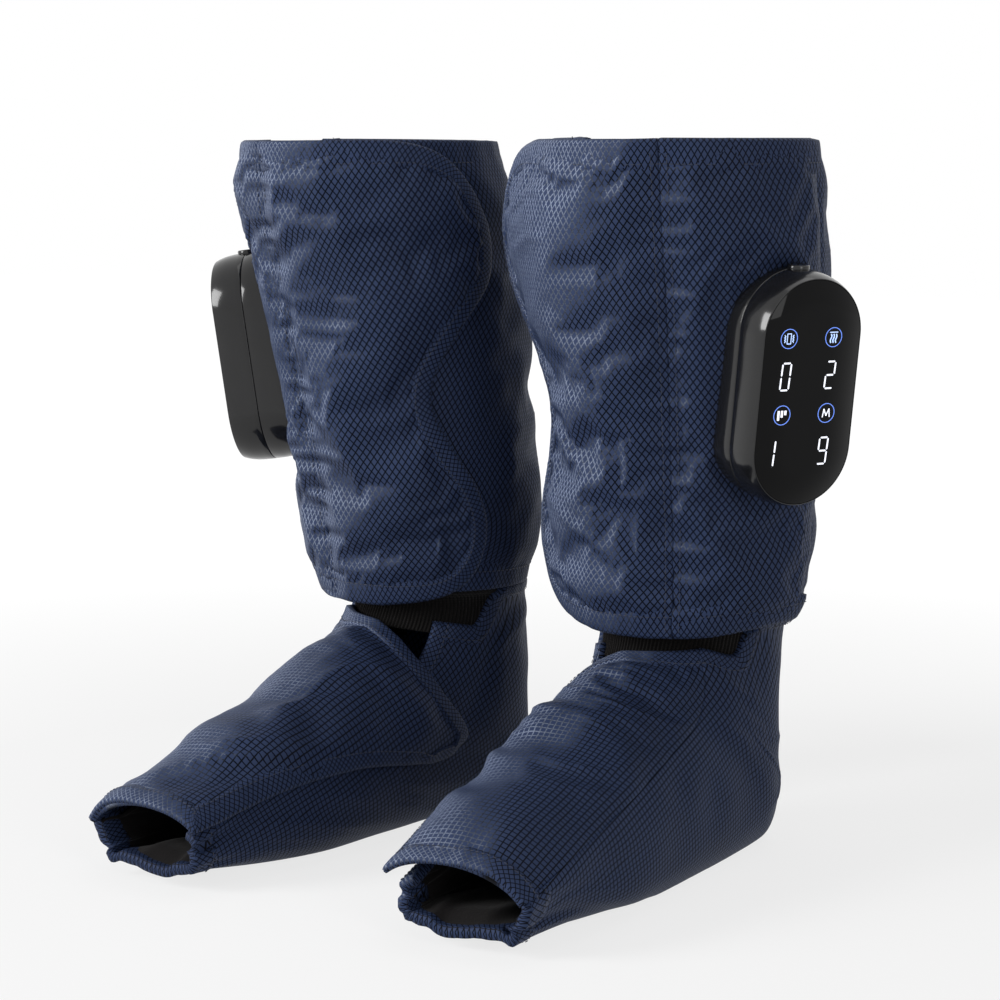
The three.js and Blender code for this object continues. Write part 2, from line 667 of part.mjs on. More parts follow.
// The soft pieces of one boot, with its calf flap's reach
function softSolids({ reach, leavesAngle }) {
  const between = ([first, last], rowsDown, from, to, more = {}) => {
    const angles = gridAngles(first, last);
    return layer({ anglesAt: () => angles, rowsAt: () => rowsDown, from, to, ...more });
  };
  const cuffAngles = [flapFoldAngle, cuffEdgeAngle + fullTurn];
  const footGrid = gridAngles(footFoldAngles[0] - fullTurn, footEdgeAngle);
  const fromFold = (gap, rowsDown) => (j) =>
    drawnIn(footGrid, footFold(rowsDown[j]) + gap - fullTurn, footEdgeAngle);
  const wrapRows = footWrapRows(footFoldAngles[0] - fullTurn);
  const footLiningRows = spread(wrapRow, lastRow, 6);
  const footBladderRows = spread(wrapRow, lastRow - 1, 5);
  const bladder = { crown: bladderThickness * bladderEdgeShare };
  const flap = { from: flapBottom, to: flapBottom + flapThickness, crown: flapThickness * flapEdgeShare };
  const flapRows = flapHeightShares.map((share) => share * calfRows);
  const flapEdges = flapRows.map((t, j) => flapEdge(t, reach * flapReachShares[j]));
  const flapAngles = flapEdges.map((edge) => flapColumns(edge, flapFoldAngle));
  const footFlapAngles = footFlapEdgeDegrees.map((edge, j) =>
    flapColumns(edge, footFold(footFlapRows[j]), footFoldAngles[1]),
  );
  const calfPatchRows = calfPatchShares.map((share) => share * calfRows);
  const belowCuff = (rowsDown) => rowsDown.map((row) => calfRows + row);
  const ankleRows = belowCuff(footPatchRows);
  const hookTop = hookBottom + patchThickness;
  const loopTop = seat + patchThickness;
  const knitTop = -coverThickness - seat - knitSlack;
  return [
    ["calf_cover", navyCloth, between(cuffAngles, calfGrid, -coverThickness, 0)],
    [
      "calf_bladder",
      bladderFilm,
      between(bladderAngles, bladderRows, bladderTop - bladderThickness, bladderTop, bladder),
    ],
    ["calf_lining", darkLining, between(cuffAngles, calfGrid, liningTop - liningThickness, liningTop)],
    [
      "calf_flap",
      navyCloth,
      layer({
        anglesAt: (j) => flapAngles[j],
        rowsAt: () => flapRows,
        table: flapTable,
        leavesAngle,
        ...flap,
      }),
    ],
    ["calf_loop_patch", tapeCloth, between(calfPatchAngles, calfPatchRows, seat, loopTop)],
    [
      "calf_hook_patch",
      tapeCloth,
      between(calfPatchAngles, calfPatchRows, hookBottom, hookTop, { leavesAngle }),
    ],
    [
      "ankle_knit",
      blackKnit,
      between(knitAngles, belowCuff(knitRows), knitTop - knitThickness, knitTop),
    ],
    [
      "foot_wrap",
      navyCloth,
      layer({
        anglesAt: fromFold(foldGapDegrees, wrapRows),
        rowsAt: footWrapRows,
        from: -coverThickness,
        to: 0,
      }),
    ],
    [
      "foot_bladder",
      bladderFilm,
      between(footBladderAngles, footBladderRows, bladderTop - bladderThickness, bladderTop, bladder),
    ],
    [
      "foot_lining",
      darkLining,
      layer({
        anglesAt: fromFold(0, footLiningRows),
        rowsAt: () => footLiningRows,
        from: liningTop - liningThickness,
        to: liningTop,
      }),
    ],
    [
      "foot_flap",
      navyCloth,
      layer({ anglesAt: (j) => footFlapAngles[j], rowsAt: () => footFlapRows, ...flap }),
    ],
    ["foot_loop_patch", tapeCloth, between(footPatchAngles, ankleRows, seat, loopTop)],
    ["foot_hook_patch", tapeCloth, between(footPatchAngles, ankleRows, hookBottom, hookTop)],
  ];
}

// One boot, drawn for the left leg; the right one is its mirror image
function boot(side, flap) {
  const group = new THREE.Group();
  const unit = new THREE.Group();
  const place = unitPlace();
  unit.applyMatrix4(place);
  const add = (parent, name, material, made) => {
    const mesh = new THREE.Mesh(geometryOf(made), material);
    mesh.name = `${side}_${name}`;
    parent.add(mesh);
  };
  for (const [name, material, made] of softSolids(flap)) {
    add(group, name, material, made);
  }
  const cutter = plateWindow(seat, -2 * panelThickness - plateDepth, panelThickness);
  add(group, "calf_panel", navyCloth, calfPanelSolid().subtract(cutter.transform(place.elements)));
  for (const [name, made, material] of unitSolids(place)) {
    add(unit, name, material, made);
  }
  group.add(unit);
  return group;
}

const pair = new THREE.Group();
const leftBoot = boot("left", leftFlap);
const rightBoot = boot("right", rightFlap);
leftBoot.position.x = standSpacing / 2;
leftBoot.rotation.z = THREE.MathUtils.degToRad(standSplayDegrees);
rightBoot.position.x = -standSpacing / 2;
rightBoot.rotation.z = -leftBoot.rotation.z;
rightBoot.scale.x = -1;
pair.add(leftBoot, rightBoot);

// The origin is the middle of the footprint
pair.updateMatrixWorld(true);
const footprint = new THREE.Box3().setFromObject(pair);
pair.position.y = -(footprint.min.y + footprint.max.y) / 2;

// Fold lines of the left boot's flaps, for whoever hinges them: two points on each, in the pair's frame
pair.updateMatrixWorld(true);
const foldPoint = (degrees, t, lift) => layerPoint(degrees, t, lift).applyMatrix4(leftBoot.matrixWorld);
const flapTop = flapBottom + flapThickness;
pair.userData.calfFold = [0, calfRows].map((t) => foldPoint(flapFoldAngle, t, flapTop + calfFoldBow));
const lifted = (point, lift) => point.add(new THREE.Vector3(0, 0, lift));
pair.userData.footFold = [footFlapTop, lastRow].map((t, k) =>
  lifted(foldPoint(footFold(t), t, flapTop), footHingeLift[k]),
);
pair.userData.unitPlace = unitPlace().premultiply(leftBoot.matrixWorld).elements;

export default pair;
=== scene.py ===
"""Dresses the pair of air-compression leg massagers: cloth, padding, bindings, knit and the pump units.

Metres, +Z up. The wearer faces -Y and the left boot is at +X. Every soft piece is drawn on one surface, the
outside of the cuff and foot wrap, by an angle round the leg and a row down it, as the solids are.
"""

import math

import bpy
import numpy as np
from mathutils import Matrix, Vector


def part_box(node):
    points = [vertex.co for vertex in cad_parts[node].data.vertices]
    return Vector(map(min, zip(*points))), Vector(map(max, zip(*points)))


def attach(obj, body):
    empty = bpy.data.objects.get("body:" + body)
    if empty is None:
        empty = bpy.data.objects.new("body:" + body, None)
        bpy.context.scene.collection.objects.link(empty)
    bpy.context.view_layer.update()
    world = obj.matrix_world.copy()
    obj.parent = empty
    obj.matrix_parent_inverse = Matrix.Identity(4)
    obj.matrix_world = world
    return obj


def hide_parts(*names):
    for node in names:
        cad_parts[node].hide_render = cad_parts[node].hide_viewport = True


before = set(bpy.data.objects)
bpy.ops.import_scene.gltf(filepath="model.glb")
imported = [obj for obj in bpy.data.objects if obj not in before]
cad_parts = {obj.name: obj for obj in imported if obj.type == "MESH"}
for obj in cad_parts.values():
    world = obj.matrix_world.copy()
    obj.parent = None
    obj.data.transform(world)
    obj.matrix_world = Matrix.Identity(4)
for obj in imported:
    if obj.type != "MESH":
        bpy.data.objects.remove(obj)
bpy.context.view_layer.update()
MM = 0.001
SIDES = ("left", "right")

# The studio: a pale floor, a large soft light on the left, a fill on the right and a soft light above.
# The camera stands in front of the left boot's outer side, a little above the middle of the cuffs.
camera_azimuth = math.radians(34.9)
camera_pitch = math.radians(7.6)
camera_place = Vector((0.907, -1.2655, 0.4294))
camera_lens = 92.3
camera_sensor_width = 36
camera_data = bpy.data.cameras.new("camera")
camera_data.lens = camera_lens
camera_data.sensor_width = camera_sensor_width
camera = bpy.data.objects.new("camera", camera_data)
camera.location = camera_place
gaze = Vector(
    (
        -math.sin(camera_azimuth) * math.cos(camera_pitch),
        math.cos(camera_azimuth) * math.cos(camera_pitch),
        -math.sin(camera_pitch),
    )
)
camera.rotation_mode = "QUATERNION"
camera.rotation_quaternion = gaze.to_track_quat("-Z", "Y")
bpy.context.scene.collection.objects.link(camera)
bpy.context.scene.camera = camera
bpy.context.scene.view_settings.view_transform = "Standard"


class Nodes:
    """Builds one node tree: every call adds a node, sets its inputs by name and links what is linked."""

    def __init__(self, tree):
        self.tree = tree

    def add(self, kind, settings=None, **inputs):
        node = self.tree.nodes.new(kind)
        for name, value in (settings or {}).items():
            setattr(node, name, value)
        for name, value in inputs.items():
            self.feed(node.inputs[self.index(node, name)], value)
        return node

    def index(self, node, name):
        wanted = name.replace("_", " ").lower()
        if wanted.startswith("in ") and wanted[3:].isdigit():
            return int(wanted[3:])
        for k, socket in enumerate(node.inputs):
            if socket.name.lower() == wanted:
                return k
        raise KeyError(name)

    def feed(self, socket, value):
        if isinstance(value, bpy.types.NodeSocket):
            self.tree.links.new(value, socket)
        elif isinstance(value, bpy.types.Node):
            self.tree.links.new(value.outputs[0], socket)
        elif isinstance(value, tuple) and len(value) == 3 and socket.type == "RGBA":
            socket.default_value = (*value, 1)
        else:
            socket.default_value = value

    def math(self, operation, a, b=0.0, c=0.0):
        node = self.add("ShaderNodeMath", {"operation": operation}, in_0=a, in_1=b, in_2=c)
        return node.outputs[0]

    def blend(self, share, a, b):
        node = self.add("ShaderNodeMix", {"data_type": "RGBA"}, in_0=share, in_6=a, in_7=b)
        return node.outputs[2]

    def ramp(self, value, low, high, from_low=0.0, from_high=1.0):
        node = self.add("ShaderNodeMapRange", None, Value=value, to_min=low, to_max=high)
        node.inputs["From Min"].default_value = from_low
        node.inputs["From Max"].default_value = from_high
        return node.outputs[0]

    def noise(self, scale, detail=3.0, vector=None, roughness=0.5):
        node = self.add("ShaderNodeTexNoise", None, Scale=scale, Detail=detail, Roughness=roughness)
        if vector is None:
            vector = self.add("ShaderNodeTexCoord").outputs["Object"]
        self.tree.links.new(vector, node.inputs["Vector"])
        return node.outputs[0]


def new_material(name):
    material = bpy.data.materials.new(name)
    material.use_nodes = True
    material.node_tree.nodes.clear()
    nodes = Nodes(material.node_tree)
    return material, nodes


def finish_material(nodes, shader):
    output = nodes.add("ShaderNodeOutputMaterial")
    nodes.tree.links.new(shader.outputs[0], output.inputs["Surface"])


def area_light(name, place, aim, width, height, power):
    data = bpy.data.lights.new(name, "AREA")
    data.shape = "RECTANGLE"
    data.size = width
    data.size_y = height
    data.energy = power
    light = bpy.data.objects.new(name, data)
    light.location = place
    light.rotation_mode = "QUATERNION"
    light.rotation_quaternion = (Vector(aim) - Vector(place)).to_track_quat("-Z", "Y")
    bpy.context.scene.collection.objects.link(light)


# each light's name, place, height it is aimed at, width, height and power
studio_lights = (
    ("key_light", (-1.45, -2.1, 1.15), 0.25, 1.1, 1.3, 58),
    ("fill_light", (2.2, -1.1, 0.9), 0.25, 0.7, 1.5, 13),
    ("top_light", (0.2, 0.3, 2.3), 0.2, 1.6, 1.6, 7),
)
for name, place, aim_height, width, height, power in studio_lights:
    area_light(name, place, (0, 0, aim_height), width, height, power)

world = bpy.data.worlds.new("studio")
world.use_nodes = True
world.node_tree.nodes.clear()
world_nodes = Nodes(world.node_tree)
world_light_strength = 0.17
white = (1, 1, 1)
ray = world_nodes.add("ShaderNodeLightPath")
seen = world_nodes.math("MAXIMUM", ray.outputs["Is Camera Ray"], ray.outputs["Is Transmission Ray"])
seen = world_nodes.math("MAXIMUM", seen, ray.outputs["Is Glossy Ray"])
world_strength = world_nodes.ramp(seen, world_light_strength, 1)
background = world_nodes.add("ShaderNodeBackground", None, Color=white, Strength=world_strength)
world_output = world_nodes.add("ShaderNodeOutputWorld")
world.node_tree.links.new(background.outputs[0], world_output.inputs["Surface"])
bpy.context.scene.world = world

floor_half = 6.0
floor_drop = 0.0004
floor_mesh = bpy.data.meshes.new("floor")
corner_signs = ((-1, -1), (1, -1), (1, 1), (-1, 1))
floor_corners = [(x * floor_half, y * floor_half, -floor_drop) for x, y in corner_signs]
floor_mesh.from_pydata(floor_corners, [], [(0, 1, 2, 3)])
floor = bpy.data.objects.new("floor", floor_mesh)
bpy.context.scene.collection.objects.link(floor)
floor_material, nodes = new_material("floor_paper")
floor_ray = nodes.add("ShaderNodeLightPath")
paper_white = (0.82, 0.82, 0.82)
floor_glow_strength = 1.06
floor_glow_share = 0.72
fade_from, fade_to = 0.45, 1.3
paper = nodes.add("ShaderNodeBsdfDiffuse", None, Color=paper_white)
glow = nodes.add("ShaderNodeEmission", None, Color=white, Strength=floor_glow_strength)
floor_place = nodes.add("ShaderNodeTexCoord").outputs["Object"]
far = nodes.add("ShaderNodeVectorMath", {"operation": "LENGTH"}, in_0=floor_place).outputs["Value"]
fade = nodes.ramp(far, floor_glow_share, 1.0, fade_from, fade_to)
floor_seen = nodes.math("MAXIMUM", floor_ray.outputs["Is Camera Ray"], floor_ray.outputs["Is Glossy Ray"])
floor_seen = nodes.math("MAXIMUM", floor_seen, floor_ray.outputs["Is Transmission Ray"])
glow_share = nodes.math("MULTIPLY", floor_seen, fade)
floor_sides = {"in_1": paper.outputs[0], "in_2": glow.outputs[0]}
floor_mix = nodes.add("ShaderNodeMixShader", None, in_0=glow_share, **floor_sides)
finish_material(nodes, floor_mix)
floor_mesh.materials.append(floor_material)

# The face cloth is a navy satin ripstop: dark yarns cross the cloth in a diamond grid, and each diamond puffs
# up a little. Where the cloth faces the light the yarns are painted silver, a painted highlight held as
# "shine".
weave_pitch = 3.25 * MM
navy_deep = (0.018, 0.029, 0.071)
navy_light = (0.042, 0.065, 0.143)
yarn_dark = (0.0006, 0.0007, 0.0016)
yarn_painted_highlight = (0.30, 0.35, 0.48)
sheen_blue = (0.45, 0.58, 0.95)
line_core_share = 0.45
puff_height = 0.0006
threads_per_pitch = 5.0


def ripstop(name, line_share):
    material, nodes = new_material(name)
    weave = nodes.add("ShaderNodeUVMap", {"uv_map": "weave"})
    axes = nodes.add("ShaderNodeSeparateXYZ", None, Vector=weave.outputs[0])
    distances = []
    for axis in ("X", "Y"):
        cell = nodes.math("FRACT", axes.outputs[axis])
        centred = nodes.math("ABSOLUTE", nodes.math("SUBTRACT", cell, 0.5))
        distances.append(nodes.math("SUBTRACT", 0.5, centred))
    nearest = nodes.math("MINIMUM", distances[0], distances[1])
    line = nodes.ramp(nearest, 1, 0, line_share * line_core_share, line_share)
    puff = nodes.math("SQRT", nearest)
    shine = nodes.add("ShaderNodeAttribute", {"attribute_name": "shine"})
    fleck = nodes.noise(900.0, 2.0)
    drift = nodes.noise(14.0, 3.0)
    thread = nodes.add("ShaderNodeTexWave", {"wave_type": "BANDS", "bands_direction": "X"})
    fine = nodes.add("ShaderNodeVectorMath", {"operation": "SCALE"}, in_0=weave.outputs[0])
    fine.inputs["Scale"].default_value = threads_per_pitch
    nodes.tree.links.new(fine.outputs[0], thread.inputs["Vector"])
    tone = nodes.math("ADD", nodes.math("MULTIPLY", drift, 0.7), nodes.math("MULTIPLY", fleck, 0.3))
    cloth = nodes.blend(tone, navy_deep, navy_light)
    # Painted highlight: the dark yarns are painted silver where the piece's shine says it faces the light.
    glint = nodes.math("MULTIPLY", shine.outputs["Fac"], nodes.ramp(fleck, 0.45, 1.0, 0.35, 0.6))
    yarn = nodes.blend(glint, yarn_dark, yarn_painted_highlight)
    color = nodes.blend(line, cloth, yarn)
    threads = nodes.math("MULTIPLY", thread.outputs[0], 0.04)
    height = nodes.math("ADD", nodes.math("MULTIPLY", puff, 0.5), threads)
    bump = nodes.add("ShaderNodeBump", None, Strength=0.35, Distance=puff_height, Height=height)
    rough = nodes.math("ADD", nodes.ramp(tone, 0.44, 0.58), nodes.math("MULTIPLY", line, 0.25))
    shader = nodes.add(
        "ShaderNodeBsdfPrincipled",
        None,
        Base_Color=color,
        Roughness=rough,
        Sheen_Weight=0.02,
        Sheen_Roughness=0.3,
        Sheen_Tint=sheen_blue,
        Specular_IOR_Level=0.10,
        Normal=bump.outputs[0],
    )
    finish_material(nodes, shader)
    return material


navy_cloth = ripstop("navy_ripstop", 0.15)
tape_cloth = ripstop("navy_binding_tape", 0.14)

# The boot's form: sections down the leg, from the cuff's rim through the ankle to the toe opening. A row is
# one section; angles run 0 outer side, 90 back, 180 inner side, 270 shin, and past 360 round again.
boot_height = 0.440
cuff_length = 0.288
calf_width = 0.160
foot_length = 0.314
foot_width = 0.106
stand_spacing = 0.200
stand_splay = math.radians(3.4)
ankle_height = boot_height - cuff_length
calf_row_shares = (
    (-0.545, 0.46, 0.1, 0.497),
    (-0.5, 0.53, 0.09, 0.512),
    (-0.43, 0.585, 0.075, 0.508),
    (-0.365, 0.61, 0.06, 0.494),
    (-0.305, 0.63, 0.045, 0.482),
    (-0.25, 0.645, 0.03, 0.475),
    (-0.18, 0.59, 0.02, 0.42),
)
flap_hem_shares = (-0.215, 0.6, 0.02, 0.445)
flap_drop = 0.007
foot_row_shares = (
    (-0.07, 0.955, 0.305, 0.9, 0.545),
    (-0.08, 0.885, 0.307, 0.7, 0.52),
    (-0.105, 0.82, 0.303, 0.44, 0.515),
    (-0.145, 0.77, 0.296, 0.13, 0.505),
    (-0.2, 0.72, 0.215, -0.02, 0.5),
    (-0.28, 0.66, -0.02, -0.025, 0.495),
    (-0.398, 0.57, -0.26, -0.025, 0.485),
    (-0.567, 0.455, -0.51, -0.02, 0.47),
    (-0.742, 0.315, -0.735, -0.01, 0.445),
)
toe_squareness = 0.66
instep_square_share = 0.5
calf_rows = len(calf_row_shares) - 1
last_row = calf_rows + len(foot_row_shares)
wrap_row = calf_rows + 3
sole_row = calf_rows + 5
square_start_row = calf_rows + 2
flap_fold = 288.0
cuff_end = 612.0
always_on_leg = -1e9


def calf_section(shares, height):
    front, back, lean, half = (share * calf_width for share in shares)
    return (front, height, back, height, lean, half)


boot_sections = np.array(
    [
        calf_section(shares, boot_height - cuff_length * k / calf_rows)
        for k, shares in enumerate(calf_row_shares)
    ]
    + [
        (fy * foot_length, fz * ankle_height, by * foot_length, bz * ankle_height, 0, half * foot_width)
        for fy, fz, by, bz, half in foot_row_shares
    ]
)
flap_sections = np.vstack(
    [boot_sections[:calf_rows], calf_section(flap_hem_shares, ankle_height - flap_drop)]
)


def table_slopes(table):
    """The slope at each row: half of what its neighbours differ by, held so that no step overshoots."""
    steps = np.diff(table, axis=0)
    steepest = 3 * np.minimum(np.abs(steps[:-1]), np.abs(steps[1:]))
    inner = np.clip((steps[:-1] + steps[1:]) / 2, -steepest, steepest)
    return np.concatenate([steps[:1] / 2, inner, steps[-1:] / 2])


def smooth_table(table, t):
    """A smooth value through a table's evenly spaced rows, at row t, and straight on past either end."""
    last = len(table) - 1
    inside = np.clip(t, 0, last)
    i = np.clip(np.floor(inside), 0, last - 1).astype(int)
    f = (inside - i)[..., None]
    b, c = table[i], table[i + 1]
    slopes = table_slopes(table)
    p, q = slopes[i], slopes[i + 1]
    value = b + f * (p + f * (3 * (c - b) - 2 * p - q + f * (2 * (b - c) + p + q)))
    past = (t - inside)[..., None]
    slope = np.where(past > 0, table[last] - table[last - 1], table[1] - table[0]) / 2
    return value + past * slope


def smooth_step(x, low, high):
    s = np.clip((x - low) / (high - low), 0, 1)
    return s * s * (3 - 2 * s)


def skin(degrees, t, sections):
    """Points on the cover's outer face, in the left boot's own frame."""
    fy, fz, by, bz, lean, half = np.moveaxis(smooth_table(sections, t), -1, 0)
    angle = np.radians(degrees)
    squarer = (1 - toe_squareness) * smooth_step(t, square_start_row, sole_row)
    power = 1 - squarer * np.where(np.sin(angle) > 0, 1, instep_square_share)
    across = np.sign(np.cos(angle)) * np.abs(np.cos(angle)) ** power
    deep = np.sign(np.sin(angle)) * np.abs(np.sin(angle)) ** power
    y = (fy + by) / 2 + deep * (by - fy) / 2
    z = (fz + bz) / 2 + deep * (bz - fz) / 2
    return np.stack([lean + half * across, y, z], axis=-1)


def skin_normal(degrees, t, sections):
    turn = 0.5
    row_step = 0.05
    u = skin(degrees + turn, t, sections) - skin(degrees - turn, t, sections)
    v = skin(degrees, t + row_step, sections) - skin(degrees, t - row_step, sections)
    n = np.cross(v, u)
    return n / np.linalg.norm(n, axis=-1, keepdims=True)


def on_leg(degrees, t, off, sections=boot_sections, leaves=always_on_leg):
    """Points of a layer that lies off the face by a distance. Under the sole it stays above the floor, and it
    goes straight on past the angle where it leaves the leg."""
    degrees, t, off = np.broadcast_arrays(
        np.asarray(degrees, float), np.asarray(t, float), np.asarray(off, float)
    )
    held = np.maximum(degrees, leaves)
    p = skin(held, t, sections) + skin_normal(held, t, sections) * off[..., None]
    tangent = skin(held - 1, t, sections) - skin(held, t, sections)
    p = p + tangent * np.maximum(leaves - degrees, 0)[..., None]
    p[..., 2] = np.where(t > calf_rows, np.maximum(p[..., 2], np.maximum(-off, 0)), p[..., 2])
    return p


def turned(points):
    """The left boot's own frame to the pair's, without the pair's shift."""
    c, s = math.cos(stand_splay), math.sin(stand_splay)
    x, y, z = np.moveaxis(points, -1, 0)
    return np.stack([c * x - s * y + stand_spacing / 2, s * x + c * y, z], axis=-1)


grid_degrees = 12
rim_points = turned(on_leg(np.arange(flap_fold, cuff_end, grid_degrees), 0.0, 0.0))
pair_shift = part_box("left_calf_cover")[0].y - rim_points[..., 1].min()


def placed(points, side):
    """The left boot's own frame to the pair's, mirrored for the right boot."""
    p = turned(points)
    p[..., 1] += pair_shift
    if side == "right":
        p[..., 0] *= -1
    return p


def make_mesh(name, points, faces, uv=None, shine=None, material=None):
    """A smooth-shaded object whose faces point out, with a weave map and a share of painted highlight, the
    shine, for each point.
    """
    points = np.asarray(points, float)
    quads = np.array([f if len(f) == 4 else (*f, f[2]) for f in faces])
    a, b, c, d = (points[quads[:, k]] for k in range(4))
    volume = np.einsum("ij,ij->i", a, np.cross(b, c) + np.cross(c, d)).sum()
    if volume < 0:
        faces = [tuple(reversed(f)) for f in faces]
    mesh = bpy.data.meshes.new(name)
    mesh.from_pydata(points.tolist(), [], [tuple(int(k) for k in f) for f in faces])
    mesh.polygons.foreach_set("use_smooth", [True] * len(mesh.polygons))
    if uv is not None:
        layer = mesh.uv_layers.new(name="weave")
        corner = np.zeros(len(mesh.loops), int)
        mesh.loops.foreach_get("vertex_index", corner)
        layer.data.foreach_set("uv", np.asarray(uv, np.float32)[corner].ravel())
    if shine is not None:
        attribute = mesh.attributes.new("shine", "FLOAT", "POINT")
        attribute.data.foreach_set("value", np.asarray(shine, np.float32).ravel())
    if material is not None:
        mesh.materials.append(material)
    mesh.update()
    made = bpy.data.objects.new(name, mesh)
    bpy.context.scene.collection.objects.link(made)
    return made


def shell_faces(rows, columns):
    """Faces of a closed shell between two equal grids: first the outer grid's points, then the inner's."""
    size = rows * columns
    at = np.arange(size).reshape(rows, columns)
    a, b, c, d = at[:-1, :-1].ravel(), at[:-1, 1:].ravel(), at[1:, 1:].ravel(), at[1:, :-1].ravel()
    faces = list(zip(a, d, c, b)) + list(zip(a + size, b + size, c + size, d + size))
    rim = np.concatenate([at[0, :], at[1:, -1], at[-1, -2::-1], at[-2:0:-1, 0]])
    after = np.roll(rim, -1)
    return faces + list(zip(rim, after, after + size, rim + size))


lattice_size = 64
noise_gain = 1.5


def soft_noise(u, v, size, seed):
    """Smooth noise from -1 to 1 over the flat cloth, with lumps of about that size."""
    lattice = np.random.default_rng(seed).uniform(-1, 1, (lattice_size, lattice_size))
    x, y = u / size, v / size
    i, j = np.floor(x).astype(int), np.floor(y).astype(int)
    fx, fy = x - i, y - j
    fx = fx * fx * fx * (fx * (fx * 6 - 15) + 10)
    fy = fy * fy * fy * (fy * (fy * 6 - 15) + 10)

    def corner(di, dj):
        return lattice[(i + di) % lattice_size, (j + dj) % lattice_size]

    low = corner(0, 0) * (1 - fx) + corner(1, 0) * fx
    high = corner(0, 1) * (1 - fx) + corner(1, 1) * fx
    return (low * (1 - fy) + high * fy) * noise_gain


fold_wander, wander_size = 0.014, 0.07
broad_size, ridge_size, crease_size, calm_size = 0.030, 0.021, 0.009, 0.05
broad_stretch, ridge_stretch, crease_stretch = 2.6, 3.2, 2.5
broad_share, ridge_share, crease_share = 0.85, 0.75, 0.16
ridge_level_share = 0.3


def rumples(u, v, seed, angle, depth):
    """Soft folds of slack cloth that run mostly along an angle, with finer creases between them."""
    a = math.radians(angle)
    wander = fold_wander * soft_noise(u, v, wander_size, seed + 1)
    along = u * math.cos(a) + v * math.sin(a)
    across = -u * math.sin(a) + v * math.cos(a) + wander
    broad = soft_noise(along / broad_stretch, across, broad_size, seed + 2)
    ridge = 1 - np.abs(soft_noise(along / ridge_stretch, across, ridge_size, seed + 3))
    fine = soft_noise(along / crease_stretch, across, crease_size, seed + 4)
    calm = smooth_step(soft_noise(u, v, calm_size, seed + 5), -0.5, 0.5)
    folds = broad_share * broad + ridge_share * calm * (ridge**3 - ridge_level_share)
    return depth * (folds + crease_share * calm * fine)


def weave_map(u, v, angle, pitch=weave_pitch):
    """The two families of yarns, in pitches: each at that angle from the cloth's length, or square."""
    a = math.radians(angle)
    p = (u * math.cos(a) + v * math.sin(a)) / pitch
    q = (u * math.cos(a) - v * math.sin(a)) / pitch
    if angle == 0:
        p, q = u / pitch, v / pitch
    return np.stack([p, q], axis=-1)


# The painted highlight: a piece's yarns are painted silver where its face turns towards light_side past
# shine_from.
shine_from = 0.52
light_side = np.array((-0.55, -0.75, 0.5))
light_side /= np.linalg.norm(light_side)


def shine_of(points):
    """How far the cloth faces the light, from -1 to 1."""
    u = np.gradient(points, axis=1)
    v = np.gradient(points, axis=0)
    n = np.cross(u, v)
    n /= np.linalg.norm(n, axis=-1, keepdims=True) + 1e-12
    centre = points.reshape(-1, 3).mean(0)
    if np.sum(n * (points - centre)) < 0:
        n = -n
    return np.clip(n @ light_side, -1, 1)


grid_edges = {"top": np.s_[0, :], "bottom": np.s_[-1, :], "first": np.s_[:, 0], "last": np.s_[:, -1]}
edge_batch = 64


def edge_distance(u, v, edges):
    """Distance over the flat cloth from each point to the nearest sewn edge."""
    bu = np.concatenate([u[grid_edges[name]] for name in edges])
    bv = np.concatenate([v[grid_edges[name]] for name in edges])
    flat = np.stack([u.ravel(), v.ravel()], -1)
    best = np.full(len(flat), np.inf)
    for k in range(0, len(bu), edge_batch):
        batch = np.stack([bu[k : k + edge_batch], bv[k : k + edge_batch]], -1)
        gap = flat[:, None, :] - batch[None]
        best = np.minimum(best, np.sqrt((gap**2).sum(-1)).min(1))
    return best.reshape(u.shape)


def cloth_layer(name, side, degrees, t, low, high, weave, material, lay=on_leg):
    """A closed piece of cloth between an inner and an outer distance off the leg. It returns the object and
    its outer grid in the pair's frame."""
    outer = placed(lay(degrees, t, high), side)
    inner = placed(lay(degrees, t, low), side)
    uv = weave.reshape(-1, 2)
    # Share of painted highlight on the yarns, from how far the outer face turns to the light.
    lit = smooth_step(shine_of(outer), shine_from, 1.0).reshape(-1)
    rows, columns = outer.shape[:2]
    made = make_mesh(
        name,
        np.concatenate([outer.reshape(-1, 3), inner.reshape(-1, 3)]),
        shell_faces(rows, columns),
        np.concatenate([uv, uv]),
        np.concatenate([lit, lit * 0]),
        material,
    )
    return made, outer


# The cuff's own cloth: a sleeve from the fold line round the back to its free edge under the flap. It is sewn
# to the lining at its rims, with the air chamber between.
panel_seam = 362.0
cover_thickness = 0.0025
bladder_thickness = 0.005
lining_thickness = 0.002
seat = 0.0003
bladder_top = -cover_thickness - seat
lining_top = bladder_top - bladder_thickness - seat
calf_yarn_angle = 33
grid_step_degrees = 1.5
rows_per_section = 22
map_step = 2.0
map_degrees = np.arange(-80, 640, map_step)
map_rows = np.arange(0, last_row + 0.25, 0.1)
seeds = {"left": 11, "right": 47}


def flat_lengths(sections, origin):
    """Lengths round each row from an angle, and down each angle from the rim."""
    p = skin(*np.meshgrid(map_degrees, map_rows), sections)
    u = np.cumsum(np.linalg.norm(np.diff(p, axis=1, prepend=p[:, :1]), axis=-1), axis=1)
    v = np.cumsum(np.linalg.norm(np.diff(p, axis=0, prepend=p[:1]), axis=-1), axis=0)
    return u - u[:, np.searchsorted(map_degrees, origin)][:, None], v


def flat_at(lengths, degrees, t):
    """The flat cloth's two lengths at an angle and a row."""
    x = (degrees - map_degrees[0]) / (map_degrees[1] - map_degrees[0])
    y = (t - map_rows[0]) / (map_rows[1] - map_rows[0])
    i = np.clip(np.floor(x).astype(int), 0, len(map_degrees) - 2)
    j = np.clip(np.floor(y).astype(int), 0, len(map_rows) - 2)
    fx, fy = x - i, y - j
    found = []
    for table in lengths:
        low = table[j, i] * (1 - fx) + table[j, i + 1] * fx
        high = table[j + 1, i] * (1 - fx) + table[j + 1, i + 1] * fx
        found.append(low * (1 - fy) + high * fy)
    return found


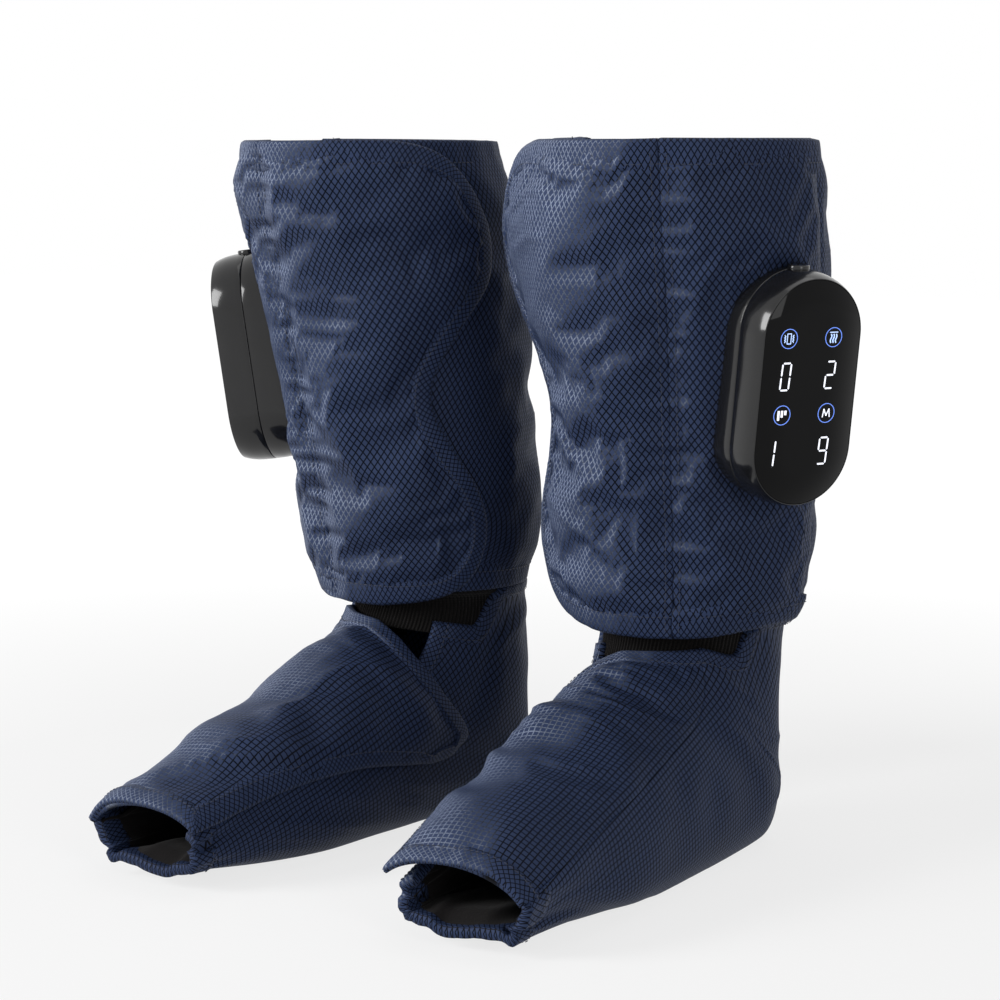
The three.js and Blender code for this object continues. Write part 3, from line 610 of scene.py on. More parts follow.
settle_frames = 18
settle_stride = 2
least_settle = -0.0026
jitter_depth, jitter_size = 0.0004, 0.011
jitter_degree, jitter_row = 0.0014, 0.045
least_pinned_share = 0.01
slack_fabric = {
    "quality": 6,
    "mass": 0.12,
    "tension_stiffness": 18,
    "compression_stiffness": 18,
    "shear_stiffness": 6,
    "bending_stiffness": 1.6,
    "tension_damping": 6,
    "compression_damping": 6,
    "air_damping": 3,
    "vertex_group_mass": "sewn",
    "use_pressure": True,
}


def settled(side, degrees, t, high, pinned, extra_cloth, pressure, most, lay=on_leg, softer=0):
    """How far slack cloth moves off the leg when it is sewn down where pinned, cut too large and blown up by
    its padding: a cloth simulation on every second point, with the moves across the cloth kept."""
    rows = np.unique(np.append(np.arange(0, degrees.shape[0], settle_stride), degrees.shape[0] - 1))
    columns = np.unique(np.append(np.arange(0, degrees.shape[1], settle_stride), degrees.shape[1] - 1))
    pick = np.ix_(rows, columns)
    d, k = degrees[pick], t[pick]
    start = lay(d, k, np.broadcast_to(high, degrees.shape)[pick])
    out = start - lay(d, k, np.broadcast_to(high, degrees.shape)[pick] - MM)
    out = out / (np.linalg.norm(out, axis=-1, keepdims=True) + 1e-12)
    jitter = jitter_depth * soft_noise(d * jitter_degree, k * jitter_row, jitter_size, seeds[side] + 71)
    at = np.arange(d.size).reshape(d.shape)
    corners = (at[:-1, :-1], at[1:, :-1], at[1:, 1:], at[:-1, 1:])
    faces = np.stack([corner.ravel() for corner in corners], axis=-1).tolist()
    begin = (start + out * jitter[..., None]).reshape(-1, 3).tolist()
    mesh = bpy.data.meshes.new("settling_cloth")
    mesh.from_pydata(begin, [], faces)
    mesh.update()
    middle = len(mesh.polygons) // 2
    facing = np.array(mesh.polygons[middle].normal) @ out.reshape(-1, 3)[mesh.polygons[middle].vertices[0]]
    if facing < 0:
        mesh.flip_normals()
    cloth = bpy.data.objects.new("settling_cloth", mesh)
    bpy.context.scene.collection.objects.link(cloth)
    sewn = cloth.vertex_groups.new(name="sewn")
    held = pinned[pick].ravel()
    for index, share in enumerate(held):
        if share > least_pinned_share:
            sewn.add([index], float(share), "REPLACE")
    modifier = cloth.modifiers.new("slack", "CLOTH")
    fabric = modifier.settings
    for name, value in slack_fabric.items():
        setattr(fabric, name, value)
    fabric.shrink_min = -extra_cloth
    fabric.uniform_pressure_force = pressure
    fabric.effector_weights.gravity = 0
    modifier.collision_settings.use_collision = False
    modifier.collision_settings.use_self_collision = False
    modifier.point_cache.frame_start = 1
    modifier.point_cache.frame_end = settle_frames
    for step in range(1, settle_frames + 1):
        bpy.context.scene.frame_set(step)
    graph = bpy.context.evaluated_depsgraph_get()
    result = cloth.evaluated_get(graph).to_mesh()
    moved = np.zeros(len(result.vertices) * 3)
    result.vertices.foreach_get("co", moved)
    cloth.evaluated_get(graph).to_mesh_clear()
    bpy.data.objects.remove(cloth)
    bpy.context.scene.frame_set(1)
    lift = np.einsum("ijk,ijk->ij", moved.reshape(start.shape) - start, out)
    lift = np.where(lift > 0, most * np.tanh(lift / most), least_settle * np.tanh(lift / least_settle))
    lift = np.nan_to_num(lift)
    for _ in range(softer):
        wide = np.pad(lift, 1, mode="edge")
        beside = wide[:-2, 1:-1] + wide[2:, 1:-1] + wide[1:-1, :-2] + wide[1:-1, 2:]
        lift = (beside + 2 * wide[1:-1, 1:-1]) / 6
    fine = np.array([np.interp(np.arange(degrees.shape[0]), rows, line) for line in lift.T]).T
    fine = np.array([np.interp(np.arange(degrees.shape[1]), columns, line) for line in fine])
    return fine


leg_flat = flat_lengths(boot_sections, flap_fold)
flap_flat = flat_lengths(np.vstack([flap_sections, flap_sections[-1:]]), flap_fold)


def leg_grid(first, last, top, bottom, step=grid_step_degrees, per_row=rows_per_section):
    columns = int(round((last - first) / step)) + 1
    rows = int(round((bottom - top) * per_row)) + 1
    return np.meshgrid(np.linspace(first, last, columns), np.linspace(top, bottom, rows))


pulled_in = 0.0032
pull_start, pull_length = 0.003, 0.016


def pulled_to_rim(inset, off, rim_off):
    """A layer's distance off the leg, drawn towards the others where they are sewn together."""
    return rim_off + (off - rim_off) * smooth_step(inset, pull_start, pull_length)


cover_swell = 1.7 * MM
cover_swell_ease = (0.006, 0.03)
cover_fold_angle, cover_fold_depth = 12, 1.5 * MM
cover_fold_ease = (0.008, 0.022)
cover_hem = 0.007
pin_ease = 0.004
cover_slack = {"extra_cloth": 0.022, "pressure": 1.6, "most": 0.0034, "softer": 2}
bare_end = (540, 556)
for side in SIDES:
    degrees, t = leg_grid(flap_fold, cuff_end, 0, calf_rows)
    u, v = flat_at(leg_flat, degrees, t)
    inset = edge_distance(u, v, ("top", "bottom", "last"))
    bare = smooth_step(degrees, panel_seam, panel_seam + 10) * (1 - smooth_step(degrees, *bare_end))
    swell = cover_swell * smooth_step(inset, *cover_swell_ease)
    slack = rumples(u, v, seeds[side], cover_fold_angle, cover_fold_depth)
    slack = slack * smooth_step(inset, *cover_fold_ease)
    pinned = 1 - smooth_step(inset - cover_hem, 0.0, pin_ease) * smooth_step(bare, 0.2, 0.8)
    slack = slack + settled(side, degrees, t, (swell + slack) * bare, pinned, **cover_slack)
    cover, face = cloth_layer(
        f"{side}_calf_cover_cloth",
        side,
        degrees,
        t,
        -cover_thickness,
        (swell + slack) * bare,
        weave_map(u, v, calf_yarn_angle),
        navy_cloth,
    )
    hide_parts(f"{side}_calf_cover")
    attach(cover, "boots")

# The cuff's lining: soft dark brushed cloth inside the air chamber, a little creased. It is drawn up to the
# cover where the two are sewn together at the bound rims.
def plain_cloth(name, dark, light, scale, bump_height, sheen):
    material, nodes = new_material(name)
    weave = nodes.add("ShaderNodeUVMap", {"uv_map": "weave"})
    grain = nodes.noise(scale, 4.0, weave.outputs[0])
    broad = nodes.noise(22.0, 3.0)
    tone = nodes.math("ADD", nodes.math("MULTIPLY", grain, 0.55), nodes.math("MULTIPLY", broad, 0.45))
    bump = nodes.add("ShaderNodeBump", None, Strength=0.5, Distance=bump_height, Height=grain)
    shader = nodes.add(
        "ShaderNodeBsdfPrincipled",
        None,
        Base_Color=nodes.blend(tone, dark, light),
        Roughness=nodes.ramp(grain, 0.7, 0.95),
        Sheen_Weight=sheen,
        Sheen_Roughness=0.5,
        Specular_IOR_Level=0.12,
        Normal=bump.outputs[0],
    )
    finish_material(nodes, shader)
    return material


lining_dark = (0.005, 0.0045, 0.005)
lining_light = (0.016, 0.014, 0.014)
lining_nap = 0.0006
dark_lining = plain_cloth("dark_brushed_lining", lining_dark, lining_light, 1.6, lining_nap, 0.05)
lining_fold_angle, lining_fold_depth = 80, 1.2 * MM
lining_fold_ease = (0.01, 0.03)
lining_step, lining_per_row = 2.0, 18
for side in SIDES:
    degrees, t = leg_grid(flap_fold, cuff_end, 0, calf_rows, lining_step, lining_per_row)
    u, v = flat_at(leg_flat, degrees, t)
    inset = edge_distance(u, v, ("top", "bottom", "first", "last"))
    high = pulled_to_rim(inset, lining_top, -cover_thickness - pulled_in / 2)
    slack = rumples(u, v, seeds[side] + 5, lining_fold_angle, lining_fold_depth)
    slack = slack * smooth_step(inset, *lining_fold_ease)
    low = pulled_to_rim(inset, lining_top - lining_thickness, -cover_thickness - pulled_in) - np.abs(slack)
    lining, face = cloth_layer(
        f"{side}_calf_lining_cloth", side, degrees, t, low, high, weave_map(u, v, 0), dark_lining
    )
    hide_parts(f"{side}_calf_lining")
    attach(lining, "boots")

# The air chambers: two sheets of milky film welded round their edges and along cross channels, one in the
# cuff and one in the foot wrap.
film_material, nodes = new_material("welded_bladder_film")
film_dark = (0.34, 0.36, 0.38)
film_light = (0.50, 0.52, 0.54)
film_ripple = 0.0004
film_noise = nodes.noise(60.0, 3.0)
film_bump = nodes.add("ShaderNodeBump", None, Strength=0.3, Distance=film_ripple, Height=film_noise)
film_shader = nodes.add(
    "ShaderNodeBsdfPrincipled",
    None,
    Base_Color=nodes.blend(film_noise, film_dark, film_light),
    Roughness=nodes.ramp(film_noise, 0.25, 0.45),
    Normal=film_bump.outputs[0],
)
finish_material(nodes, film_shader)
# each chamber's name, its angles, its rows and its number of channels
chambers = (
    ("calf_bladder", (348, 600), (0.3, 5.7), 6),
    ("foot_bladder", (-12, 204), (wrap_row, last_row - 1), 4),
)
weld_share = 0.3
weld_ease = (0.002, 0.012)
film_step, film_per_row = 3.0, 12
for side in SIDES:
    for name, (first, last), (top, bottom), channels in chambers:
        degrees, t = leg_grid(first, last, top, bottom, film_step, film_per_row)
        u, v = flat_at(leg_flat, degrees, t)
        inset = edge_distance(u, v, ("top", "bottom", "first", "last"))
        channel = np.abs(np.sin(math.pi * channels * (t - top) / (bottom - top))) ** 0.5
        full = weld_share + (1 - weld_share) * smooth_step(inset, *weld_ease) * channel
        middle = bladder_top - bladder_thickness / 2
        half = bladder_thickness / 2 * full
        faces = (middle - half, middle + half)
        plain = weave_map(u, v, 0)
        chamber, _ = cloth_layer(f"{side}_{name}_film", side, degrees, t, *faces, plain, film_material)
        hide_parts(f"{side}_{name}")
        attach(chamber, "boots")

# The outer panel: padded ripstop from the stitched fold to the outer side, where it is seamed to the cover. It
# carries the pump unit and lies flat under it.
fold_gap = 0.45
panel_thickness = 0.0076
sewn_share = 0.45
sewn_ease = 0.013


def padded_faces(inset, low, thickness, swell, sewn=sewn_share):
    """A pad's two faces: pressed thin at its sewn edges and swelling between them."""
    rise = 1 - np.exp(-np.maximum(inset, 0) / sewn_ease)
    thin = thickness * (sewn + (1 - sewn) * rise)
    return low + thin * 0, low + thin + swell * rise**2


unit_angle = 330.0


def on_panel(degrees, t, off):
    """The panel's lower hem runs on from the flap's and rises to the cuff's round the outer side."""
    toward_flap = 1 - smooth_step(degrees, flap_fold, panel_seam - 12)[..., None]
    return on_leg(degrees, t, off) * (1 - toward_flap) + on_leg(degrees, t, off, flap_sections) * toward_flap


seam_depth = 0.0042
seam_ease = 0.020
seam_pucker = 0.0007
pucker_size = 0.006
pucker_ease = (0.002, 0.022)


def to_fold(from_fold, low, high, along, seed):
    """A pad's faces drawn to the stitched fold: both sides of it meet there in a shallow puckered valley."""
    eased = smooth_step(from_fold, 0, seam_ease)
    pucker = seam_pucker * soft_noise(along, along * 0, pucker_size, seed)
    pucker = pucker * (1 - smooth_step(from_fold, *pucker_ease))
    return np.minimum(low, seat + (low - seat) * eased), seam_depth + (high - seam_depth) * eased + pucker


panel_swell = 1.0 * MM
panel_fold_angle, panel_fold_depth = 75, 1.8 * MM
panel_fold_ease = (0.009, 0.026)
pad_hem = 0.008
from_seam = (0.001, 0.014)
unit_row = 3.0
unit_drop = 0.139
flat_by_unit = (0.045, 0.075)
pinned_by_unit = (0.05, 0.065)
panel_slack = {"extra_cloth": 0.03, "pressure": 2.5, "most": 0.0055, "lay": on_panel}
fold_clearance = 0.03
panel_step, panel_rows = 1.2, 24
for side in SIDES:
    degrees, t = leg_grid(flap_fold + fold_clearance, panel_seam, 0, calf_rows, panel_step, panel_rows)
    u, v = flat_at(leg_flat, degrees, t)
    inset = edge_distance(u, v, ("top", "bottom", "last"))
    low, high = padded_faces(inset, seat, panel_thickness, panel_swell)
    low, high = to_fold(u, low, high, v, seeds[side])
    unit_along = flat_at(leg_flat, np.array(unit_angle), np.array(unit_row))[0]
    from_unit = np.hypot(u - unit_along, v - unit_drop)
    slack = rumples(u, v, seeds[side] + 9, panel_fold_angle, panel_fold_depth)
    slack = slack * smooth_step(inset, *panel_fold_ease) * smooth_step(from_unit, *flat_by_unit)
    slack = slack * smooth_step(u, *from_seam)
    loose = smooth_step(np.minimum(inset - pad_hem, u), 0.0, pin_ease)
    pinned = 1 - loose * smooth_step(from_unit, *pinned_by_unit)
    slack = slack + settled(side, degrees, t, high + slack, pinned, **panel_slack)
    panel, _ = cloth_layer(
        f"{side}_calf_panel_pad",
        side,
        degrees,
        t,
        low,
        high + slack,
        weave_map(u, v, calf_yarn_angle),
        navy_cloth,
        on_panel,
    )
    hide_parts(f"{side}_calf_panel")
    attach(panel, "boots")

# The calf flaps: padded ripstop that wraps over the shin, with a bound wavy free edge. The left one stands a
# little off the leg past its last bend, the right one lies closed.
flap_height_shares = (0, 0.02, 0.06, 0.12, 0.2, 0.3, 0.4, 0.5, 0.58, 0.67, 0.76, 0.85, 0.92, 0.97, 1)
flap_reach_shares = (0.58, 0.72, 0.85, 0.95, 1, 0.95, 0.78, 0.63, 0.59, 0.64, 0.72, 0.74, 0.66, 0.5, 0.24)
flap_outline = np.array([flap_height_shares, flap_reach_shares]).T
flap_reach = {"left": 0.178, "right": 0.158}
flap_leaves = {"left": 230.0, "right": always_on_leg}
patch_thickness = 0.001
flap_room = 0.001
hook_bottom = seat + patch_thickness + seat
flap_bottom = hook_bottom + patch_thickness + flap_room
flap_thickness = 0.005


def flap_edge(k, side):
    """The row and angle of the calf flap's free edge at step k of its outline."""
    height, share = np.moveaxis(smooth_table(flap_outline, np.asarray(k, float)), -1, 0)
    t = height * calf_rows
    degree_length = np.linalg.norm(
        skin(flap_fold, t, boot_sections) - skin(flap_fold - 1.0, t, boot_sections), axis=-1
    )
    stretch = 1 + 2 * flap_bottom / calf_width
    return t, flap_fold - fold_gap - flap_reach[side] * share / (degree_length * stretch)


flap_swell = 2.2 * MM


def flap_faces(inset):
    return padded_faces(inset, flap_bottom, flap_thickness, flap_swell)


def on_flap(side):
    def lay(degrees, t, off):
        return on_leg(degrees, t, off, flap_sections, flap_leaves[side])

    return lay


flap_steps, flap_columns = 141, 121


def flap_grid(side, gap):
    """The flap's angles and rows, from its free edge to a gap short of the fold."""
    steps = np.linspace(0, len(flap_outline) - 1, flap_steps)
    k, s = np.meshgrid(steps, np.linspace(0, 1, flap_columns), indexing="ij")
    t, edge = flap_edge(k, side)
    return edge + (flap_fold - gap - edge) * s, t


flap_fold_angle, flap_fold_depth = 20, 1.4 * MM
flap_fold_ease = (0.009, 0.028)
flap_slack = {"extra_cloth": 0.035, "pressure": 3.0, "most": 0.0085}
for side in SIDES:
    degrees, t = flap_grid(side, fold_clearance)
    u, v = flat_at(flap_flat, degrees, t)
    inset = edge_distance(u, v, ("top", "bottom", "first"))
    low, high = flap_faces(inset)
    low, high = to_fold(-u, low, high, v, seeds[side])
    slack = rumples(u, v, seeds[side] + 13, flap_fold_angle, flap_fold_depth)
    slack = slack * smooth_step(inset, *flap_fold_ease) * smooth_step(-u, *from_seam)
    pinned = 1 - smooth_step(np.minimum(inset - pad_hem, -u), 0.0, pin_ease)
    slack = slack + settled(side, degrees, t, high + slack, pinned, lay=on_flap(side), **flap_slack)
    flap, _ = cloth_layer(
        f"{side}_calf_flap_pad",
        side,
        degrees,
        t,
        low,
        high + slack,
        weave_map(u, v, calf_yarn_angle),
        navy_cloth,
        on_flap(side),
    )
    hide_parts(f"{side}_calf_flap")
    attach(flap, f"{side}_calf_flap")

# The stretch ankle: black ribbed knit sewn inside the cuff's hem and the foot wrap's upper edge, so that the
# ankle can bend. It shows in the slit between the two.
knit_material, nodes = new_material("black_ribbed_knit")
knit_map = nodes.add("ShaderNodeUVMap", {"uv_map": "weave"})
knit_axes = nodes.add("ShaderNodeSeparateXYZ", None, Vector=knit_map.outputs[0])
rib = nodes.math("SINE", nodes.math("MULTIPLY", knit_axes.outputs["X"], 2 * math.pi))
loop = nodes.math("SINE", nodes.math("MULTIPLY", knit_axes.outputs["Y"], 4 * math.pi))
knit_height = nodes.math("ADD", rib, nodes.math("MULTIPLY", loop, 0.25))
# Painted shade and light on the ribs: the black knit is painted darker in the hollows between ribs and lighter
# on their crests.
knit_shaded_hollow = (0.0012, 0.001, 0.001)
knit_lit_crest = (0.0065, 0.0052, 0.005)
knit_relief = 0.0006
knit_bump = nodes.add("ShaderNodeBump", None, Strength=0.6, Distance=knit_relief, Height=knit_height)
knit_shader = nodes.add(
    "ShaderNodeBsdfPrincipled",
    None,
    Base_Color=nodes.blend(nodes.ramp(rib, 0, 1, -1, 1), knit_shaded_hollow, knit_lit_crest),
    Roughness=0.9,
    Sheen_Weight=0.08,
    Specular_IOR_Level=0.15,
    Normal=knit_bump.outputs[0],
)
finish_material(nodes, knit_shader)
knit_thickness = 0.0022
knit_sink = 0.0009
knit_top = -cover_thickness - seat - knit_sink
stitch_row = 0.015
knit_depth = 2.4
knit_angles = (168, 384)
knit_step, knit_per_row = 1.0, 24
rib_pitch = 2.6 * MM
rib_height = 0.35 * MM
knit_fold_depth, knit_fold_most = 0.9 * MM, 0.4 * MM
knit_fold_ease = (0.004, 0.014)
for side in SIDES:
    knit_ends = (calf_rows + stitch_row, calf_rows + knit_depth)
    degrees, t = leg_grid(*knit_angles, *knit_ends, knit_step, knit_per_row)
    u, v = flat_at(leg_flat, degrees, t)
    inset = edge_distance(u, v, ("top", "bottom"))
    ribs = rib_height * np.sin(2 * math.pi * u / rib_pitch)
    slack = rumples(u, v, seeds[side] + 21, 0, knit_fold_depth) * smooth_step(inset, *knit_fold_ease)
    knit, face = cloth_layer(
        f"{side}_ankle_knit_cloth",
        side,
        degrees,
        t,
        knit_top - knit_thickness,
        knit_top + ribs + np.minimum(slack, knit_fold_most),
        weave_map(u, v, 0, rib_pitch),
        knit_material,
    )
    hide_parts(f"{side}_ankle_knit")
    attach(knit, "boots")

# The foot wraps: ripstop from the instep's outer side round the sole and up the inner side, with a strip up
# the heel to the cuff, and open at the toes. The lining inside is drawn up to the bound toe opening.
foot_fold_top = calf_rows + 3.05
foot_fold_angles = (312.0, 336.0)
foot_edge_angle = 228.0
heel_half, heel_ease, slit_rows = 94, 18, 1.95
foot_yarn_angle = 0
foot_rows_per_section = 20
instep_slope = math.radians(20)
ridge_angle = 270
ridge_degrees = np.arange(ridge_angle - 360, ridge_angle + map_step, map_step)
facing_back = (0.35, 0.85)
heel_reach = (0.02, 0.06)


def foot_lengths():
    """The foot cloth's two lengths: from the instep's ridge down either side, and along the foot, on round
    its heel. On the flap the outer side counts the other way, so that it runs on over the ridge."""
    angles, rows = np.meshgrid(ridge_degrees, map_rows)
    x, y, z = np.moveaxis(skin(angles, rows, boot_sections), -1, 0)
    normal = skin_normal(angles, rows, boot_sections)
    level = y * math.sin(instep_slope) - z * math.cos(instep_slope)
    backward = smooth_step(normal[..., 1], *facing_back)
    across = np.diff(x, axis=1) * (1 - backward[:, 1:])
    step = np.hypot(across, np.diff(level, axis=1))
    from_ridge = np.pad(np.cumsum(step, axis=1), ((0, 0), (1, 0)))
    inner_side = from_ridge[:, -1:] - from_ridge
    behind = np.clip(normal[..., 1], 0, 1) ** 2 * smooth_step(y, *heel_reach)
    along = -y * math.cos(instep_slope) - z * math.sin(instep_slope)
    along = along - behind * (foot_width / 2 - np.abs(x))
    base = np.where(map_degrees < ridge_angle, map_degrees, map_degrees - 360)
    pick = np.round((base - ridge_degrees[0]) / map_step).astype(int)
    pick = np.clip(pick, 0, angles.shape[1] - 1)
    inner = inner_side[:, pick]
    outer = from_ridge[:, pick]
    u = np.where(map_degrees < 90, outer, np.where(map_degrees < ridge_angle, inner, -outer))
    return u, along[:, pick]


foot_flat = foot_lengths()


def foot_fold(t):
    share = (np.minimum(t, last_row) - foot_fold_top) / (last_row - foot_fold_top)
    return foot_fold_angles[0] + (foot_fold_angles[1] - foot_fold_angles[0]) * share


row_samples = 121


def row_at(degrees, height):
    """The row where the foot's skin reaches down to a height, at each angle."""
    rows = np.linspace(calf_rows, sole_row, row_samples)
    shape = np.shape(degrees)
    down = np.broadcast_to(rows, (*shape, row_samples))
    points = skin(np.asarray(degrees, float)[..., None], down, boot_sections)
    lines = points[..., 2].reshape(-1, row_samples)
    wanted = np.broadcast_to(height, shape).ravel()
    found = [np.interp(-z, -line, rows) for z, line in zip(wanted, lines)]
    return np.array(found).reshape(shape)


slit_drop = 0.0235
slit_rise = 0.006
slit_drop_angles = (10, 25)
slit_rise_angles = (25, 50)
curved_until = 60


def wrap_top(degrees):
    """The row of the foot wrap's upper edge at an angle: from the hem at the heel down to the slit's end on
    the outer side, and up a little to the instep."""
    side_share = smooth_step(np.abs(degrees - 90), heel_half, heel_half + heel_ease)
    plain = calf_rows + stitch_row + slit_rows * side_share
    height = ankle_height - slit_drop * smooth_step(-degrees, *slit_drop_angles)
    height = height + slit_rise * smooth_step(-degrees, *slit_rise_angles)
    curved = np.maximum(row_at(degrees, height), calf_rows + stitch_row)
    return np.where(degrees < curved_until, curved, plain)


wrap_columns, ankle_rows, lining_rows = 181, 36, 121
ankle_end = wrap_row + 0.8


def wrap_grid(first_gap, top=None):
    """Angles and rows of the wrap, from the outer side's fold, under the sole, to its free edge. Its first
    row is the wrap's upper edge, or a plain row."""
    s = np.linspace(0, 1, wrap_columns)[None, :]
    if top is None:
        roughly = foot_fold_angles[0] - 360 + (foot_edge_angle - foot_fold_angles[0] + 360) * s
        start = wrap_top(roughly)
        ankle = start + (ankle_end - start) * np.linspace(0, 1, ankle_rows)[:, None]
        foot = np.linspace(ankle_end, last_row, (last_row - wrap_row) * foot_rows_per_section)[1:, None]
        rows = np.vstack([ankle, np.broadcast_to(foot, (len(foot), wrap_columns))])
    else:
        rows = np.linspace(top, last_row, lining_rows)[:, None]
        rows = np.broadcast_to(rows, (lining_rows, wrap_columns))
    first = foot_fold(rows) + first_gap - 360
    return first + (foot_edge_angle - first) * s, rows


fold_level = 0.0046
toe_gather = 0.0085
toe_crumple = 0.0026
crumple_degree, crumple_row, crumple_size = 0.001, 0.012, 0.016
gather_row, crumple_from_row = 13.2, 14.0


def gathered(degrees, t):
    """How far the toe opening is drawn in by its binding, less towards the fold and on the sole."""
    past_fold = smooth_step(degrees - foot_fold(t) + 360, 2, 34)
    crumple = soft_noise(degrees * crumple_degree, t * crumple_row, crumple_size, 5)
    crumple = crumple * smooth_step(t, crumple_from_row, last_row)
    return -(toe_gather * smooth_step(t, gather_row, last_row - 0.05) + toe_crumple * crumple) * past_fold


def on_toes(degrees, t, off):
    return on_leg(degrees, t, off + gathered(degrees, t))


fold_level_ease = 0.02


def level_at_fold(inset):
    """How far the wrap and the flap both stand off the leg where they meet at the fold."""
    return fold_level * (0.4 + 0.6 * smooth_step(inset, 0, fold_level_ease))


foot_gap = 0.05
floor_ease = (0.004, 0.030)
sole_from_rows = (9.6, 10.6)
wrap_swell = 2.4 * MM
wrap_fold_angle, wrap_fold_depth = 35, 1.8 * MM
wrap_fold_ease = (0.007, 0.022)
wrap_hem = 0.007
near_fold_length = 0.05
fold_ease = 0.02
under_flap_angles = (176, 190)
pinned_under_flap = (166, 178)
wrap_slack = {"extra_cloth": 0.016, "pressure": 2.0, "most": 0.0036, "lay": on_toes, "softer": 9}
for side in SIDES:
    degrees, t = wrap_grid(foot_gap)
    u, v = flat_at(leg_flat, degrees, t)
    inset = edge_distance(u, v, ("top", "bottom", "last"))
    low_down = 1 - smooth_step(on_leg(degrees, t, 0.0)[..., 2], *floor_ease)
    underneath = smooth_step(np.sin(np.radians(degrees)), 0.5, 0.8) * smooth_step(t, *sole_from_rows)
    on_sole = np.maximum(underneath, low_down)
    from_fold = edge_distance(u, v, ("first",))
    swell = wrap_swell * smooth_step(inset, *cover_swell_ease) * (1 - on_sole)
    near_fold = 1 - smooth_step(from_fold, 0, near_fold_length)
    swell = swell + (level_at_fold(inset) - swell) * near_fold
    slack = rumples(u, v, seeds[side] + 25, wrap_fold_angle, wrap_fold_depth)
    slack = slack * smooth_step(inset, *wrap_fold_ease) * (1 - on_sole)
    slack = slack * smooth_step(from_fold, 0, fold_ease)
    pinned = 1 - smooth_step(np.minimum(inset - wrap_hem, from_fold), 0.0, pin_ease) * (1 - on_sole)
    pinned = np.maximum(pinned, smooth_step(degrees, *pinned_under_flap))
    slack = slack + settled(side, degrees, t, swell + slack, pinned, **wrap_slack)
    under_flap = smooth_step(degrees, *under_flap_angles)
    wrap, face = cloth_layer(
        f"{side}_foot_wrap_cloth",
        side,
        degrees,
        t,
        -cover_thickness,
        (swell + slack) * (1 - under_flap),
        weave_map(*flat_at(foot_flat, degrees, t), foot_yarn_angle),
        navy_cloth,
        on_toes,
    )
    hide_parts(f"{side}_foot_wrap")
    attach(wrap, "boots")

foot_lining_fold_depth = 1.8 * MM
foot_lining_ease = (0.008, 0.02)
for side in SIDES:
    degrees, t = wrap_grid(0.0, wrap_row)
    u, v = flat_at(leg_flat, degrees, t)
    inset = edge_distance(u, v, ("bottom", "last"))
    high = pulled_to_rim(inset, lining_top, -cover_thickness - pulled_in / 2)
    slack = rumples(u, v, seeds[side] + 31, lining_fold_angle, foot_lining_fold_depth)
    slack = slack * smooth_step(inset, *foot_lining_ease)
    low = pulled_to_rim(inset, lining_top - lining_thickness, -cover_thickness - pulled_in) - np.abs(slack)
    lining, face = cloth_layer(
        f"{side}_foot_lining_cloth", side, degrees, t, low, high, weave_map(u, v, 0), dark_lining, on_toes
    )
    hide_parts(f"{side}_foot_lining")
    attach(lining, "boots")

# The foot flaps: padded ripstop folded over the instep from the outer side, with a bound free edge that runs
# past the toe opening. At the fold the cloth runs straight on from the wrap.
foot_flap_outline = np.array(
    [
        (8.5, 262),
        (9.26, 246),
        (9.9, 231),
        (10.51, 208),
        (11, 183),
        (12, 180),
        (13, 193),
        (14, 204),
        (last_row + 0.16, 212),
    ],
    float,
)
merge_length = 0.055
slit_end_angle = -52.0
top_slant = foot_flap_outline[0, 0] - float(wrap_top(np.array([slit_end_angle]))[0])
foot_flap_steps, foot_flap_columns = 121, 81
foot_flap_swell = 2.0 * MM
foot_flap_sewn_share = 0.6


def foot_flap_grid(gap):
    """The flap's angles and rows, from its free edge to the fold. Its top edge rises a little to the fold."""
    steps = np.linspace(0, len(foot_flap_outline) - 1, foot_flap_steps)
    k, s = np.meshgrid(steps, np.linspace(0, 1, foot_flap_columns), indexing="ij")
    t, edge = np.moveaxis(smooth_table(foot_flap_outline, k), -1, 0)
    t = t - top_slant * s * (1 - smooth_step(k, 0, 2.5))
    return edge + (foot_fold(t) - gap - edge) * s, t


def foot_flap_faces(inset, from_fold):
    """The flap's two faces: level with the wrap at the fold, and lifted over it further on."""
    low, high = padded_faces(inset, flap_bottom, flap_thickness, foot_flap_swell, foot_flap_sewn_share)
    lifted = smooth_step(from_fold, 0, merge_length)
    level = level_at_fold(inset)
    return -cover_thickness + (low + cover_thickness) * lifted, level + (high - level) * lifted


foot_flap_fold_depth = 2.4 * MM
foot_flap_slack = {"extra_cloth": 0.03, "pressure": 2.5, "most": 0.0065, "softer": 2}
for side in SIDES:
    degrees, t = foot_flap_grid(foot_gap)
    u, v = flat_at(leg_flat, degrees, t)
    inset = edge_distance(u, v, ("top", "bottom", "first"))
    from_fold = edge_distance(u, v, ("last",))
    low, high = foot_flap_faces(inset, from_fold)
    slack = rumples(u, v, seeds[side] + 37, flap_fold_angle, foot_flap_fold_depth)
    slack = slack * smooth_step(inset, *flap_fold_ease) * smooth_step(from_fold, 0.0, fold_ease)
    pinned = 1 - smooth_step(np.minimum(inset - pad_hem, from_fold), 0.0, pin_ease)
    slack = slack + settled(side, degrees, t, high + slack, pinned, **foot_flap_slack)
    foot_weave = weave_map(*flat_at(foot_flat, degrees, t), foot_yarn_angle)
    foot_flap, _ = cloth_layer(
        f"{side}_foot_flap_pad", side, degrees, t, low, high + slack, foot_weave, navy_cloth
    )
    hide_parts(f"{side}_foot_flap")
    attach(foot_flap, f"{side}_foot_flap")

